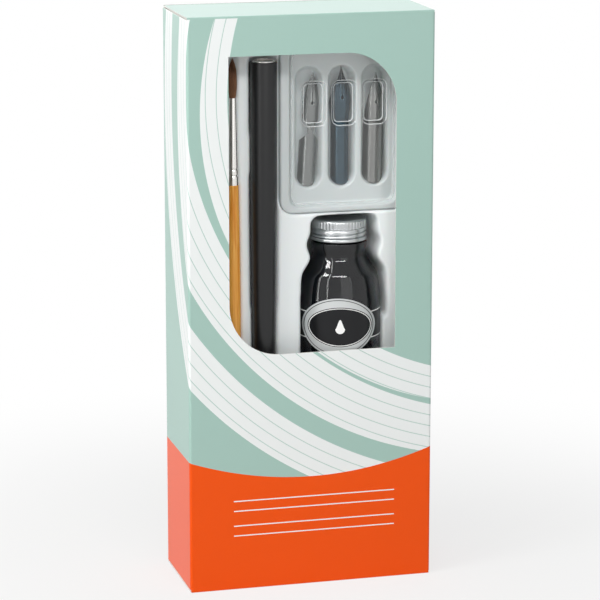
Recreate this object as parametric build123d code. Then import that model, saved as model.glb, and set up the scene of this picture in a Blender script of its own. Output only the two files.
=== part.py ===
from build123d import *
import math
import os

# Boxed dip pen set: a folding carton with a window, a moulded tray and what lies in the tray.
# Millimetres. X is to the right, Y to the back, Z up. The origin is the middle of the underside.

# Carton
carton_width = 78.0
carton_depth = 33.0
carton_height = 180.0
board = 0.5
fold_radius = 0.8
crease_gap = 0.1
panel_gap = 0.25
lid_side_margin = 0.3
lid_back_gap = 0.3
window_width = 53.0
window_height = 93.0
window_top_margin = 12.2
window_corner_radius = 16.0
window_x = 0.4
tongue_length = 12.0
tongue_lean = 20.0
tongue_side_margin = 1.8
tongue_corner_radius = 6.0
dust_flap_length = 24.0
dust_flap_front_margin = 2.0
dust_flap_front_taper = 0.56
dust_flap_back_margin = 3.0
dust_flap_back_taper = 0.12
glue_flap_width = 13.0
glue_flap_end_margin = 16.0
glue_flap_taper = 4.0

# Moulded tray
tray_sheet = 0.6
tray_front_gap = 0.3
tray_face_depth = 7.3
tray_rim_width = 3.0
tray_side_gap = 0.3
tray_end_gap = 1.5
tray_back_gap = 0.3
tray_corner_radius = 4.0
tray_notch_height = 15.0
tray_notch_depth = 6.5
room_end_gap = 0.6

# Nib tray, its clear cover and the nibs
nib_tray_x = 12.35
nib_tray_from_top = 36.4
nib_tray_width = 40.5
nib_tray_height = 52.8
nib_tray_corner_radius = 4.2
nib_tray_sheet = 0.5
nib_tray_fit = 0.2
nib_tray_foot = 0.4
recess_width = 33.7
recess_height = 48.3
recess_corner_radius = 2.8
recess_depth = 2.2
nib_pocket_width = 8.7
nib_pocket_height = 38.4
nib_pocket_edge_radius = 0.6
nib_pitch = 10.65
nib_sheet = 0.3
nib_open_below_axis = 0.5
nib_seat_gap = 0.1
nib_crown_gap = 0.15
nib_slit_width = 0.16
nib_hole_radius = 0.45
nib_heel_rise = 1.9
nib_heel_gap = 0.7
nib_hole_share = 0.27
nib_tip_radius_share = 0.5
nib_belly_share = 0.3
nib_shank_share = 0.5
waisted_nib_length = 35.5
waisted_nib_radius = 2.75
waisted_nib_lean = 3.3
waisted_nib_shift = -0.1
waisted_nib_shoulder = 2.6
waisted_nib_waist = 1.0
broad_nib_length = 37.4
broad_nib_radius = 2.85
broad_nib_belly = 3.4
broad_nib_shift = 0.2
slim_nib_length = 34.9
slim_nib_radius = 3.15
slim_nib_lean = 1.1
slim_nib_shift = 0.0
cover_sheet = 0.25
cover_fit = 0.2
cover_sink = 0.35
cover_lift = 0.1
cup_width = 7.8
cup_height = 13.9
cup_corner_radius = 1.8
cup_pitch = 9.65
cup_shift = 0.25
cup_rise = 7.5
cup_draft = 0.35

# Pen holder
holder_x = -13.2
holder_from_top = 15.1
holder_from_bottom = 6.9
holder_radius = 4.15
holder_tail_radius = 2.9
holder_head_length = 38.0
holder_end_round = 0.9
holder_sink = 0.0
holder_fit = 0.1
holder_side_room = 0.35
socket_radius = 3.4
socket_depth = 15.0
ring_wall = 0.3
ring_proud = 0.5
ring_lip = 0.3
clip_radius = 2.35
clip_wall = 0.25
clip_length = 12.0
clip_slot_width = 0.9
clip_slot_length = 8.0
pinch_length = 11.0
pinch_pitch = 55.0
pinch_from_top = 28.4

# Brush
brush_x = -22.9
brush_sink = 0.0
brush_fit = 0.15
hair_from_top = 13.4
brush_from_bottom = 8.2
hair_length = 12.5
hair_root_length = 4.0
hair_belly_share = 0.42
hair_spread = 0.45
strand_count = 300
strand_width = 0.09
strand_tip_width = 0.03
hair_belly_radius = 1.4
ferrule_length = 26.9
ferrule_mouth_radius = 1.15
ferrule_tail_radius = 1.75
ferrule_wall = 0.2
crimp_depth = 0.14
crimp_pitch = 2.0
crimp_from_tail = 2.9
handle_plug_length = 7.0
handle_belly_radius = 2.3
handle_belly_share = 0.37
handle_tail_radius = 1.1

# Ink bottle
bottle_x = 12.75
bottle_gap_to_nib_tray = 3.0
bottle_radius = 13.15
bottle_body_height = 18.5
bottle_sink = 6.65
bottle_fit = 0.25
shoulder_side_room = 0.95
neck_side_room = 1.1
bottle_grip_height = 14.6
pocket_corner_radius = 2.5
bottle_wall = 1.4
bottle_foot_radius = 2.0
shoulder_radius = 11.9
shoulder_height = 27.5
waist_radius = 8.4
waist_height = 33.6
collar_radius = 8.8
collar_height = 2.6
collar_top_height = 37.8
finish_radius = 7.5
finish_bore_radius = 5.4
ink_height = 34.5
cap_radius = 8.65
cap_height = 6.8
cap_sheet = 0.35
cap_collar_gap = 0.4
cap_side_room = 1.25
cap_rim_proud = 0.4
cap_rim_height = 1.2
cap_bead_proud = 0.15
cap_bead_height = 1.3
cap_groove_depth = 0.2
cap_groove_width = 0.4
cap_edge_round = 0.7
knurl_height = 2.2
knurl_depth = 0.16
knurl_count = 48
liner_thickness = 0.8
liner_fit = 0.15
cap_travel = 0.7
cap_travel_room = 0.2
label_thickness = 0.12
label_half_width = 11.4
label_half_height = 9.2
label_band_height = 8.6
label_height = 12.5
label_turn = 16.0

# Places that follow from the sizes
front = -carton_depth / 2
back = carton_depth / 2
half_width = carton_width / 2
lid_axis_y = front + board / 2
lid_axis_z = carton_height - board / 2
lid_back_y = back - board - lid_back_gap
tongue_axis_y = lid_back_y - board / 2
flap_axis_x = half_width - board / 2
flap_axis_drop = board + panel_gap + board / 2
root_reach = board / 2 + crease_gap
lean = math.radians(tongue_lean)
tongue_root_reach = (root_reach + board / 2 * math.sin(lean)) / math.cos(lean)
window_top_z = carton_height - window_top_margin
tray_front = front + board + tray_front_gap
tray_face = tray_front + tray_face_depth
tray_back = back - 2 * board - tray_back_gap
tray_half_width = half_width - board - tray_side_gap
tray_end = flap_axis_drop + board / 2 + tray_end_gap
tray_mid_z = carton_height / 2
tray_height = carton_height - 2 * tray_end
recess_floor = tray_face + recess_depth
nib_tray_z = carton_height - nib_tray_from_top
nib_tray_low = nib_tray_z - nib_tray_height / 2
nib_axis_y = recess_floor + nib_crown_gap + broad_nib_belly
nib_pocket_floor = nib_axis_y + nib_open_below_axis + nib_seat_gap
nib_tray_back = nib_pocket_floor + nib_tray_sheet + nib_tray_foot
nib_base_z = nib_tray_z - nib_pocket_height / 2 + nib_heel_gap
holder_axis_y = tray_face + holder_sink
holder_top_z = carton_height - holder_from_top
holder_low_z = holder_from_bottom
brush_axis_y = tray_face + brush_sink
hair_tip_z = carton_height - hair_from_top
hair_base_z = hair_tip_z - hair_length
ferrule_tail_z = hair_base_z - ferrule_length
brush_low_z = brush_from_bottom
handle_belly_z = ferrule_tail_z - handle_belly_share * (ferrule_tail_z - brush_low_z)
bottle_axis_y = tray_face + bottle_sink
cap_top_z = nib_tray_low - bottle_gap_to_nib_tray
cap_low_z = cap_top_z - cap_height
collar_top_z = cap_low_z - cap_collar_gap
bottle_base_z = collar_top_z - collar_top_height
body_top_z = bottle_base_z + bottle_body_height
shoulder_z = bottle_base_z + shoulder_height
waist_z = bottle_base_z + waist_height
label_z = bottle_base_z + label_height
finish_top_z = cap_top_z - cap_sheet - liner_thickness


def block(x0, x1, y0, y1, z0, z1):
    """Box between two corners."""
    low = (Align.MIN, Align.MIN, Align.MIN)
    return Pos(x0, y0, z0) * Box(x1 - x0, y1 - y0, z1 - z0, align=low)


def front_prism(sketch, y0, y1):
    """Outline seen from the front, extruded from y0 back to y1."""
    seat = Plane(origin=(0, y1, 0), x_dir=(1, 0, 0), z_dir=(0, -1, 0))
    return extrude(seat * sketch, amount=y1 - y0, dir=(0, -1, 0))


def rod(radius, z0, z1, x=0.0, y=0.0):
    """Upright round bar."""
    low = (Align.CENTER, Align.CENTER, Align.MIN)
    return Pos(x, y, z0) * Cylinder(radius, z1 - z0, align=low)


def turned_face(half_face, x, y):
    """Solid of revolution from half an outline, drawn with radius across and height up."""
    return Pos(x, y, 0) * revolve(Plane.XZ * half_face, axis=Axis.Z)


def turned(points, x, y):
    """Solid of revolution from straight (radius, height) points, about an upright axis at x, y."""
    return turned_face(make_face(Polyline(*points, close=True)), x, y)


def room(half_face, x, axis_y, y_open):
    """Room for a turned piece: round behind its axis, and straight forward from there to y_open."""
    space = turned_face(half_face, x, axis_y)
    if y_open < axis_y:
        silhouette = half_face + mirror(half_face, about=Plane.YZ)
        space += front_prism(Pos(x, 0) * silhouette, y_open, axis_y)
    return space


# Carton


def window_outline():
    """Window with two opposite corners well rounded and two sharp."""
    shape = Rectangle(window_width, window_height)
    corners = shape.vertices().sort_by(lambda v: v.X + v.Y)
    rounded = fillet([corners[0], corners[-1]], window_corner_radius)
    return Pos(window_x, window_top_z - window_height / 2) * rounded


def wall(corners, z0, z1):
    """Stretch of the folded board inside the given plan corners, which meet the next wall at a mitre."""
    outer = RectangleRounded(carton_width, carton_depth, fold_radius)
    inner_radius = fold_radius - board
    inner = RectangleRounded(carton_width - 2 * board, carton_depth - 2 * board, inner_radius)
    plan = (outer - inner) & make_face(Polyline(*corners, close=True))
    return Pos(0, 0, z0) * extrude(plan, amount=z1 - z0, dir=(0, 0, 1))


def crease_across(z):
    """Half-round fold of the board along the front panel's edge."""
    reach = carton_width - 2 * fold_radius
    return Pos(0, lid_axis_y, z) * Rot(0, 90, 0) * Cylinder(board / 2, reach)


def front_panel():
    """Front panel with the window, and the folds that carry the top and bottom panels."""
    inner = half_width - carton_depth / 2
    out = half_width + board
    corners = ((-out, front - board), (out, front - board), (inner, 0), (-inner, 0))
    panel = wall(corners, board / 2, lid_axis_z)
    panel += crease_across(board / 2)
    panel += crease_across(lid_axis_z)
    return panel - front_prism(window_outline(), front - board, front + 2 * board)


def back_panel():
    """Back panel, with raw edges at both ends."""
    inner = half_width - carton_depth / 2
    out = half_width + board
    return wall(((-out, back + board), (out, back + board), (inner, 0), (-inner, 0)), 0, carton_height)


def side_panel(side):
    """Side panel, with the folds that carry its dust flaps."""
    inner = side * (half_width - carton_depth / 2)
    out = side * (half_width + board)
    high = carton_height - flap_axis_drop
    panel = wall(((out, front - board), (out, back + board), (inner, 0)), flap_axis_drop, high)
    length = carton_depth - 2 * board
    for z in (flap_axis_drop, high):
        panel += Pos(side * flap_axis_x, 0, z) * Rot(90, 0, 0) * Cylinder(board / 2, length)
    return panel


def glue_flap():
    """Lap inside the back panel that joins the folded board."""
    x1 = half_width - fold_radius
    x0 = x1 - glue_flap_width
    z0, z1 = glue_flap_end_margin, carton_height - glue_flap_end_margin
    corners = ((x1, z0), (x1, z1), (x0, z1 - glue_flap_taper), (x0, z0 + glue_flap_taper))
    return front_prism(make_face(Polyline(*corners, close=True)), back - 2 * board, back - board)


def lid_panel(at_top):
    """Top or bottom panel, hinged on the front panel's edge."""
    reach = half_width - lid_side_margin
    z0 = carton_height - board if at_top else 0.0
    y0, y1 = lid_axis_y + root_reach, tongue_axis_y - tongue_root_reach
    return block(-reach, reach, y0, y1, z0, z0 + board)


def tuck_tongue(at_top):
    """Tongue at the panel's back edge, leaning forward into the carton."""
    reach = half_width - board - tongue_side_margin
    shape = Pos(0, -tongue_length / 2) * Rectangle(2 * reach, tongue_length)
    shape = fillet(shape.vertices().sort_by(Axis.Y)[:2], tongue_corner_radius)
    tongue = front_prism(shape, -board / 2, board / 2)
    tongue += Rot(0, 90, 0) * Cylinder(board / 2, 2 * reach)
    tongue = Rot(-tongue_lean, 0, 0) * tongue
    if at_top:
        return Pos(0, tongue_axis_y, lid_axis_z) * tongue
    return Pos(0, tongue_axis_y, board / 2) * mirror(tongue, about=Plane.XY)


def dust_flap(side, at_top):
    """Side flap folded in under the panel, cut back in front so that it clears the opening lid."""
    x0 = flap_axis_x - root_reach
    x1 = half_width - dust_flap_length
    y0 = front + board + dust_flap_front_margin
    y1 = back - board - dust_flap_back_margin
    reach = x0 - x1
    corners = (
        (side * x0, y0),
        (side * x1, y0 + dust_flap_front_taper * reach),
        (side * x1, y1 - dust_flap_back_taper * reach),
        (side * x0, y1),
    )
    z = carton_height - flap_axis_drop if at_top else flap_axis_drop
    plan = make_face(Polyline(*corners, close=True))
    return Pos(0, 0, z - board / 2) * extrude(plan, amount=board, dir=(0, 0, 1))


# Bottle, cap and label


def bottle_side():
    """Curve of the bottle's side, from the top of its straight body over the shoulder to the waist."""
    return Spline(
        (bottle_radius, body_top_z),
        (shoulder_radius, shoulder_z),
        (waist_radius, waist_z),
        tangents=[(-0.1, 1), (0, 1)],
    )


def bottle_glass():
    """Round glass bottle with a waist and a collar under its screw neck."""
    low = bottle_base_z
    foot = bottle_radius - bottle_foot_radius
    inner = bottle_radius - bottle_wall
    outside = (
        Line((0, low), (foot, low))
        + RadiusArc((foot, low), (bottle_radius, low + bottle_foot_radius), -bottle_foot_radius)
        + Line((bottle_radius, low + bottle_foot_radius), (bottle_radius, body_top_z))
        + bottle_side()
        + Polyline(
            (waist_radius, waist_z),
            (collar_radius, collar_top_z - collar_height),
            (collar_radius, collar_top_z),
            (finish_radius, collar_top_z),
            (finish_radius, finish_top_z),
            (finish_bore_radius, finish_top_z),
            (finish_bore_radius, waist_z),
        )
    )
    inside = Spline(
        (finish_bore_radius, waist_z),
        (shoulder_radius - bottle_wall, shoulder_z - bottle_wall),
        (inner, body_top_z - bottle_wall),
        tangents=[(0, -1), (0, -1)],
    ) + Polyline(
        (inner, body_top_z - bottle_wall), (inner, low + bottle_wall), (0, low + bottle_wall), (0, low)
    )
    return turned_face(make_face(outside + inside), bottle_x, bottle_axis_y)


def bottle_ink():
    """Ink that fills the inside of the glass up to its level."""
    low = bottle_base_z + bottle_wall
    level = bottle_base_z + ink_height
    full = rod(bottle_radius - bottle_wall / 2, low, level, bottle_x, bottle_axis_y)
    inside = full - bottle_glass()
    return inside.solids().sort_by(lambda s: s.volume)[-1]


def cap_shell():
    """Rolled aluminium screw cap: fluted band at the top, thread bead and rolled rim below."""
    inner = cap_radius - cap_sheet
    rim = cap_radius + cap_rim_proud
    bead = cap_radius + cap_bead_proud
    groove = cap_radius - cap_groove_depth
    half = cap_groove_width / 2
    rim_top = cap_low_z + cap_rim_height
    bead_low = rim_top + cap_groove_width
    bead_top = bead_low + cap_bead_height
    knurl_low = cap_top_z - cap_edge_round - knurl_height
    valley = cap_radius - knurl_depth
    skirt = (
        (inner, cap_low_z),
        (rim - half, cap_low_z),
        (rim, cap_low_z + half),
        (rim, rim_top - half),
        (groove, rim_top + half / 2),
        (bead, bead_low + half),
        (bead, bead_top - half),
        (groove, bead_top + half),
        (valley, knurl_low),
        (valley, knurl_low + knurl_height),
        (cap_radius - cap_edge_round, cap_top_z),
        (0, cap_top_z),
        (0, cap_top_z - cap_sheet),
        (inner, cap_top_z - cap_sheet),
    )
    shell = turned(skirt, bottle_x, bottle_axis_y)
    flutes = []
    for i in range(2 * knurl_count):
        r = cap_radius if i % 2 == 0 else valley
        a = math.pi * i / knurl_count
        flutes.append((r * math.cos(a), r * math.sin(a)))
    band = Polygon(*flutes, align=None) - Circle(inner)
    ring = Pos(bottle_x, bottle_axis_y, knurl_low) * extrude(band, amount=knurl_height, dir=(0, 0, 1))
    return shell + ring


def cap_liner():
    """Foam disc under the cap's roof, resting on the rim of the glass."""
    radius = cap_radius - cap_sheet - liner_fit
    return rod(radius, finish_top_z, cap_top_z - cap_sheet, bottle_x, bottle_axis_y)


def bottle_label():
    """Paper label: an oval in front on a band that runs round the bottle."""
    outer = bottle_radius + label_thickness
    ring = Circle(outer) - Circle(bottle_radius)
    band_low = label_z - label_band_height / 2
    band = Pos(0, 0, band_low) * extrude(ring, amount=label_band_height, dir=(0, 0, 1))
    sheet = Pos(0, 0, label_z - label_half_height) * extrude(ring, amount=2 * label_half_height)
    oval = Pos(0, label_z) * Ellipse(label_half_width, label_half_height)
    label = band + (sheet & front_prism(oval, -2 * outer, 0))
    return Pos(bottle_x, bottle_axis_y, 0) * Rot(0, 0, -label_turn) * label


# Pen holder


def holder_radius_at(z):
    """Radius of the holder at a height: straight head, then a taper to the tail."""
    head_low = holder_top_z - holder_head_length
    if z >= head_low:
        return holder_radius
    share = (head_low - z) / (head_low - holder_low_z)
    return holder_radius + share * (holder_tail_radius - holder_radius)


def holder_body():
    """Turned holder: straight head, long taper, rounded tail, and a socket in its head."""
    top, low = holder_top_z, holder_low_z
    round_low = 2 * holder_end_round
    head_low = top - holder_head_length
    tail = holder_radius_at(low + round_low)
    outline = (
        Line((0, low), (tail - round_low, low))
        + RadiusArc((tail - round_low, low), (tail, low + round_low), -round_low)
        + Line((tail, low + round_low), (holder_radius, head_low))
        + Line((holder_radius, head_low), (holder_radius, top - holder_end_round))
        + RadiusArc(
            (holder_radius, top - holder_end_round),
            (holder_radius - holder_end_round / 2, top),
            -holder_end_round,
        )
        + Line((holder_radius - holder_end_round / 2, top), (0, top))
        + Line((0, top), (0, low))
    )
    body = turned_face(make_face(outline), holder_x, holder_axis_y)
    return body - rod(socket_radius, top - socket_depth, top + 1, holder_x, holder_axis_y)


def holder_ring():
    """Plated sleeve in the socket with a small lip that shows on the end."""
    bore = socket_radius - ring_wall
    top = holder_top_z + ring_proud
    points = (
        (bore, holder_top_z - socket_depth),
        (socket_radius, holder_top_z - socket_depth),
        (socket_radius, holder_top_z),
        (socket_radius + ring_lip, holder_top_z),
        (socket_radius + ring_lip, top - ring_lip),
        (socket_radius, top),
        (bore, top),
    )
    return turned(points, holder_x, holder_axis_y)


def holder_clip():
    """Slotted spring sleeve that grips a nib against the ring, on a round plug at its root."""
    low = holder_top_z - socket_depth
    top = low + clip_length
    sleeve = rod(clip_radius, low, top) - rod(clip_radius - clip_wall, low + clip_wall, top + 1)
    half_slot = clip_slot_width / 2
    for turn in (0, 90):
        slot = block(-socket_radius, socket_radius, -half_slot, half_slot, top - clip_slot_length, top + 1)
        sleeve -= Rot(0, 0, turn) * slot
    plug = rod(socket_radius - ring_wall, low, low + 2 * clip_wall)
    return Pos(holder_x, holder_axis_y, 0) * (sleeve + plug)


# Brush


def ferrule_radius_at(z):
    """Outer radius of the tapered ferrule at a height."""
    share = (z - ferrule_tail_z) / ferrule_length
    return ferrule_tail_radius + share * (ferrule_mouth_radius - ferrule_tail_radius)


def brush_handle():
    """Turned wooden handle, swelling below the ferrule and tapering to its tail."""
    low = brush_low_z
    plug_top = ferrule_tail_z + handle_plug_length
    neck = ferrule_tail_radius - ferrule_wall
    plug_end = ferrule_radius_at(plug_top) - ferrule_wall
    outline = (
        Line((0, low), (handle_tail_radius / 2, low))
        + Line((handle_tail_radius / 2, low), (handle_tail_radius, low + handle_tail_radius))
        + Spline(
            (handle_tail_radius, low + handle_tail_radius),
            (handle_belly_radius, handle_belly_z),
            (ferrule_tail_radius, ferrule_tail_z),
        )
        + Polyline(
            (ferrule_tail_radius, ferrule_tail_z),
            (neck, ferrule_tail_z),
            (plug_end, plug_top),
            (0, plug_top),
            (0, low),
        )
    )
    return turned_face(make_face(outline), brush_x, brush_axis_y)


def brush_ferrule():
    """Tapered nickel ferrule with two crimp rings."""
    wall_points = (
        (ferrule_tail_radius - ferrule_wall, ferrule_tail_z),
        (ferrule_tail_radius, ferrule_tail_z),
        (ferrule_mouth_radius, hair_base_z),
        (ferrule_mouth_radius - ferrule_wall, hair_base_z),
    )
    ferrule = turned(wall_points, brush_x, brush_axis_y)
    for i in range(2):
        z = ferrule_tail_z + crimp_from_tail + i * crimp_pitch
        middle = ferrule_radius_at(z) + crimp_depth / 2
        ferrule -= Pos(brush_x, brush_axis_y, z) * Torus(middle, crimp_depth)
    return ferrule


def tuft_radius_at(share):
    """Radius of the round tuft's outline at a share of its length: out to a belly, then in to a point."""
    root = ferrule_mouth_radius - ferrule_wall
    if share <= hair_belly_share:
        return root + (hair_belly_radius - root) * share / hair_belly_share
    rest = (share - hair_belly_share) / (1 - hair_belly_share)
    return hair_belly_radius * (1 - rest**2)


def strand_end(part):
    """Share of the tuft's length at which a strand, part of the way out from the middle, meets its outline."""
    low, high = hair_belly_share, 1.0
    for _ in range(20):
        share = (low + high) / 2
        rest = (share - hair_belly_share) / (1 - hair_belly_share)
        spread = hair_belly_radius * (1 - (1 - hair_spread) * rest)
        if part * spread < tuft_radius_at(share):
            low = share
        else:
            high = share
    return low, part * spread


def strand(number):
    """One three-sided strand, placed on a sunflower spiral, from the root to its own end."""
    part = math.sqrt((number + 0.5) / strand_count) * 0.97
    turn = number * math.pi * (3 - math.sqrt(5))
    end, end_reach = strand_end(part)
    root = ferrule_mouth_radius - ferrule_wall
    stations = (
        (-strand_width, part * (root - strand_width), strand_width * 0.85),
        (hair_belly_share * hair_length, part * (hair_belly_radius - strand_width), strand_width),
        (end * hair_length, end_reach, strand_tip_width),
    )
    sections = []
    for rise, reach, width in stations:
        place = Plane(origin=(reach * math.cos(turn), reach * math.sin(turn), rise))
        sections.append(place * Triangle(a=width, b=width, c=width))
    return loft(sections, ruled=True)


def brush_hair():
    """Round tuft of single strands with a belly and a fine point, on the plug that the ferrule holds."""
    root = rod(ferrule_mouth_radius - ferrule_wall, -hair_root_length, 0)
    tuft = root.fuse(*[strand(i) for i in range(strand_count)])
    return Pos(brush_x, brush_axis_y, hair_base_z) * tuft


# Nibs


def nib(x, turn, length, shank_radius, belly_radius, half_widths):
    """Pressed steel nib: an arched sheet cut to an outline given as (share of length, half width)."""
    side = [(w, -s * length) for s, w in half_widths]
    wide = side[-1][0]
    heel_z = -length + nib_heel_rise
    outline = (
        Spline((0, 0), *side)
        + Line(side[-1], (wide, heel_z))
        + Spline((wide, heel_z), (0, -length), tangents=[(0, -1), (-1, 0)])
        + Line((0, -length), (0, 0))
    )
    half_plan = make_face(outline)
    plan = half_plan + mirror(half_plan, about=Plane.YZ)
    tip_radius = nib_tip_radius_share * shank_radius
    belly_z = -nib_belly_share * length
    body_end = -nib_shank_share * length
    inner_tip, inner_belly, inner_shank = (r - nib_sheet for r in (tip_radius, belly_radius, shank_radius))
    crown = (
        Spline(
            (tip_radius, 0), (belly_radius, belly_z), (shank_radius, body_end), tangents=[(0.3, -1), (0, -1)]
        )
        + Polyline(
            (shank_radius, body_end), (shank_radius, -length), (inner_shank, -length), (inner_shank, body_end)
        )
        + Spline(
            (inner_shank, body_end), (inner_belly, belly_z), (inner_tip, 0), tangents=[(0, 1), (-0.3, 1)]
        )
        + Line((inner_tip, 0), (tip_radius, 0))
    )
    piece = turned_face(make_face(crown), 0, 0)
    reach = 2 * belly_radius
    piece &= front_prism(plan, -reach, nib_open_below_axis)
    hole_z = -nib_hole_share * length
    piece -= Pos(0, 0, hole_z) * Rot(90, 0, 0) * Cylinder(nib_hole_radius, 2 * reach)
    piece -= block(-nib_slit_width / 2, nib_slit_width / 2, -reach, reach, hole_z, 1)
    heel = Pos(x, nib_axis_y, nib_base_z)
    return heel * Rot(0, turn, 0) * Pos(0, 0, length) * piece


def waisted_nib():
    """Nib with a narrow waist between its body and its shank."""
    wide, shoulder, waist = waisted_nib_radius, waisted_nib_shoulder, waisted_nib_waist
    half_widths = (
        (0.06, 0.3 * shoulder), (0.13, 0.66 * shoulder), (0.30, 0.96 * shoulder), (0.41, shoulder),
        (0.475, 1.15 * waist), (0.53, waist), (0.575, 0.8 * wide), (0.61, 1.05 * wide),
    )
    x = nib_tray_x - nib_pitch + waisted_nib_shift
    return nib(x, waisted_nib_lean, waisted_nib_length, wide, wide, half_widths)


def broad_nib():
    """Nib with a body that bulges wider than its shank."""
    wide = broad_nib_belly
    half_widths = (
        (0.05, 0.4), (0.115, 1.2), (0.168, 0.74 * wide), (0.23, 0.9 * wide), (0.32, wide),
        (0.41, 0.96 * wide), (0.52, 1.03 * broad_nib_radius), (0.58, 1.05 * broad_nib_radius),
    )
    x = nib_tray_x + broad_nib_shift
    return nib(x, 0.0, broad_nib_length, broad_nib_radius, wide, half_widths)


def slim_nib():
    """Nib with a long even taper to its point."""
    wide = slim_nib_radius
    half_widths = (
        (0.05, 0.5), (0.09, 0.95), (0.18, 0.62 * wide), (0.28, 0.85 * wide), (0.40, wide), (0.5, 1.05 * wide),
    )
    x = nib_tray_x + nib_pitch + slim_nib_shift
    return nib(x, slim_nib_lean, slim_nib_length, wide, wide, half_widths)


# Trays and clear cover


def nib_pocket_outline(column, grow=0.0):
    """Stadium outline of one nib pocket."""
    shape = SlotOverall(nib_pocket_height + 2 * grow, nib_pocket_width + 2 * grow, rotation=90)
    return Pos(nib_tray_x + column * nib_pitch, nib_tray_z) * shape


def nib_tray_outline(grow=0.0):
    """Outline of the nib tray."""
    radius = nib_tray_corner_radius + grow
    shape = RectangleRounded(nib_tray_width + 2 * grow, nib_tray_height + 2 * grow, radius)
    return Pos(nib_tray_x, nib_tray_z) * shape


def recess_outline(grow=0.0):
    """Outline of the shallow recess in the nib tray."""
    radius = recess_corner_radius + grow
    shape = RectangleRounded(recess_width + 2 * grow, recess_height + 2 * grow, radius)
    return Pos(nib_tray_x, nib_tray_z) * shape


def nib_tray():
    """Small moulded tray: rim, skirt, shallow recess and three round-ended nib pockets."""
    t = nib_tray_sheet
    tray = front_prism(nib_tray_outline(), tray_face, nib_tray_back)
    tray -= front_prism(nib_tray_outline(-t), tray_face + t, nib_tray_back + 1)
    tray += front_prism(recess_outline(t), tray_face, recess_floor + t)
    for column in (-1, 0, 1):
        tray += front_prism(nib_pocket_outline(column, t), recess_floor, nib_pocket_floor + t)
    tray -= front_prism(recess_outline(), tray_face - 1, recess_floor)
    for column in (-1, 0, 1):
        pocket = front_prism(nib_pocket_outline(column), recess_floor - t, nib_pocket_floor)
        tray -= fillet(pocket.edges().group_by(Axis.Y)[-1], nib_pocket_edge_radius)
    return tray


def cup(x, z, grow, y_mouth, y_floor):
    """Rounded cup of the cover, narrower at its floor than at its mouth."""
    sections = []
    for inset, y in ((0, y_mouth), (cup_draft, y_floor)):
        width, height = (size + 2 * (grow - inset) for size in (cup_width, cup_height))
        outline = RectangleRounded(width, height, cup_corner_radius + grow - inset)
        sections.append(Plane(origin=(x, y, z), x_dir=(1, 0, 0), z_dir=(0, -1, 0)) * outline)
    return loft(sections, ruled=True)


def nib_cover():
    """Clear moulded cover in the recess, with three cups that reach down over the nibs."""
    t = cover_sheet
    top = tray_face + cover_sink
    cover = front_prism(recess_outline(-cover_fit), top, recess_floor)
    cover -= front_prism(recess_outline(-cover_fit - t), top + t, recess_floor + 1)
    floor = recess_floor - cover_lift
    for column in (-1, 0, 1):
        x, z = nib_tray_x + cup_shift + column * cup_pitch, nib_tray_z + cup_rise
        cover += cup(x, z, t, top, floor)
        cover -= cup(x, z, 0, top, floor - t)
    return cover


def holder_room(grow, y_open):
    """Channel for the pen holder: wide stretches, with narrow ones between them that hold it."""
    near = holder_fit + grow
    wide = near + holder_side_room
    low = holder_low_z - room_end_gap - grow
    high = holder_top_z + ring_proud + room_end_gap + grow
    points = [(0, high), (holder_radius + wide, high)]
    z = holder_top_z - pinch_from_top
    while z - pinch_length > holder_low_z:
        upper, lower = z + pinch_length / 2, z - pinch_length / 2
        ramp = 2 * holder_side_room
        points.append((holder_radius_at(upper + ramp) + wide, upper + ramp))
        points.append((holder_radius_at(upper) + near, upper))
        points.append((holder_radius_at(lower) + near, lower))
        points.append((holder_radius_at(lower - ramp) + wide, lower - ramp))
        z -= pinch_pitch
    points.append((holder_tail_radius + wide, low))
    points.append((0, low))
    return room(make_face(Polyline(*points, close=True)), holder_x, holder_axis_y, y_open)


def brush_room(grow, y_open):
    """Channel for the brush, following its widest places."""
    wide = brush_fit + grow
    low = brush_low_z - room_end_gap - grow
    high = hair_tip_z + room_end_gap + grow
    points = (
        (0, high),
        (hair_belly_radius + wide, high),
        (max(hair_belly_radius, ferrule_mouth_radius) + wide, hair_base_z),
        (ferrule_tail_radius + 2 * brush_fit + grow, ferrule_tail_z),
        (handle_belly_radius + wide, handle_belly_z),
        (handle_belly_radius + wide, low),
        (0, low),
    )
    return room(make_face(Polyline(*points, close=True)), brush_x, brush_axis_y, y_open)


def bottle_room(grow, y_open):
    """Pocket for the bottle: a lip over its foot at the right, open in front of the rest."""
    low = bottle_base_z - bottle_fit - grow
    grip = bottle_base_z + bottle_grip_height
    body = bottle_radius + bottle_fit + grow
    shoulder = shoulder_radius + bottle_fit + shoulder_side_room + grow
    neck = cap_radius + cap_rim_proud + cap_side_room + grow
    top = cap_top_z + cap_travel + cap_travel_room + grow
    upper = (
        Line((0, grip), (body, grip))
        + Line((body, grip), (body, body_top_z))
        + Spline(
            (body, body_top_z),
            (shoulder, shoulder_z),
            (neck, waist_z),
            (neck + neck_side_room, collar_top_z),
            (neck, cap_low_z + cap_height / 2),
            tangents=[(0, 1), (0, 1)],
        )
        + Polyline((neck, cap_low_z + cap_height / 2), (neck, top), (0, top), (0, grip))
    )
    face = make_face(upper)
    corner = face.vertices().sort_by(lambda v: v.X + v.Y * 100)[-1]
    face = fillet(corner, pocket_corner_radius + grow)
    space = room(face, bottle_x, bottle_axis_y, y_open)
    space += rod(body, low, grip, bottle_x, bottle_axis_y)
    if y_open < bottle_axis_y:
        space += block(bottle_x - body, bottle_x, y_open, bottle_axis_y, low, grip)
    return space


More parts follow.
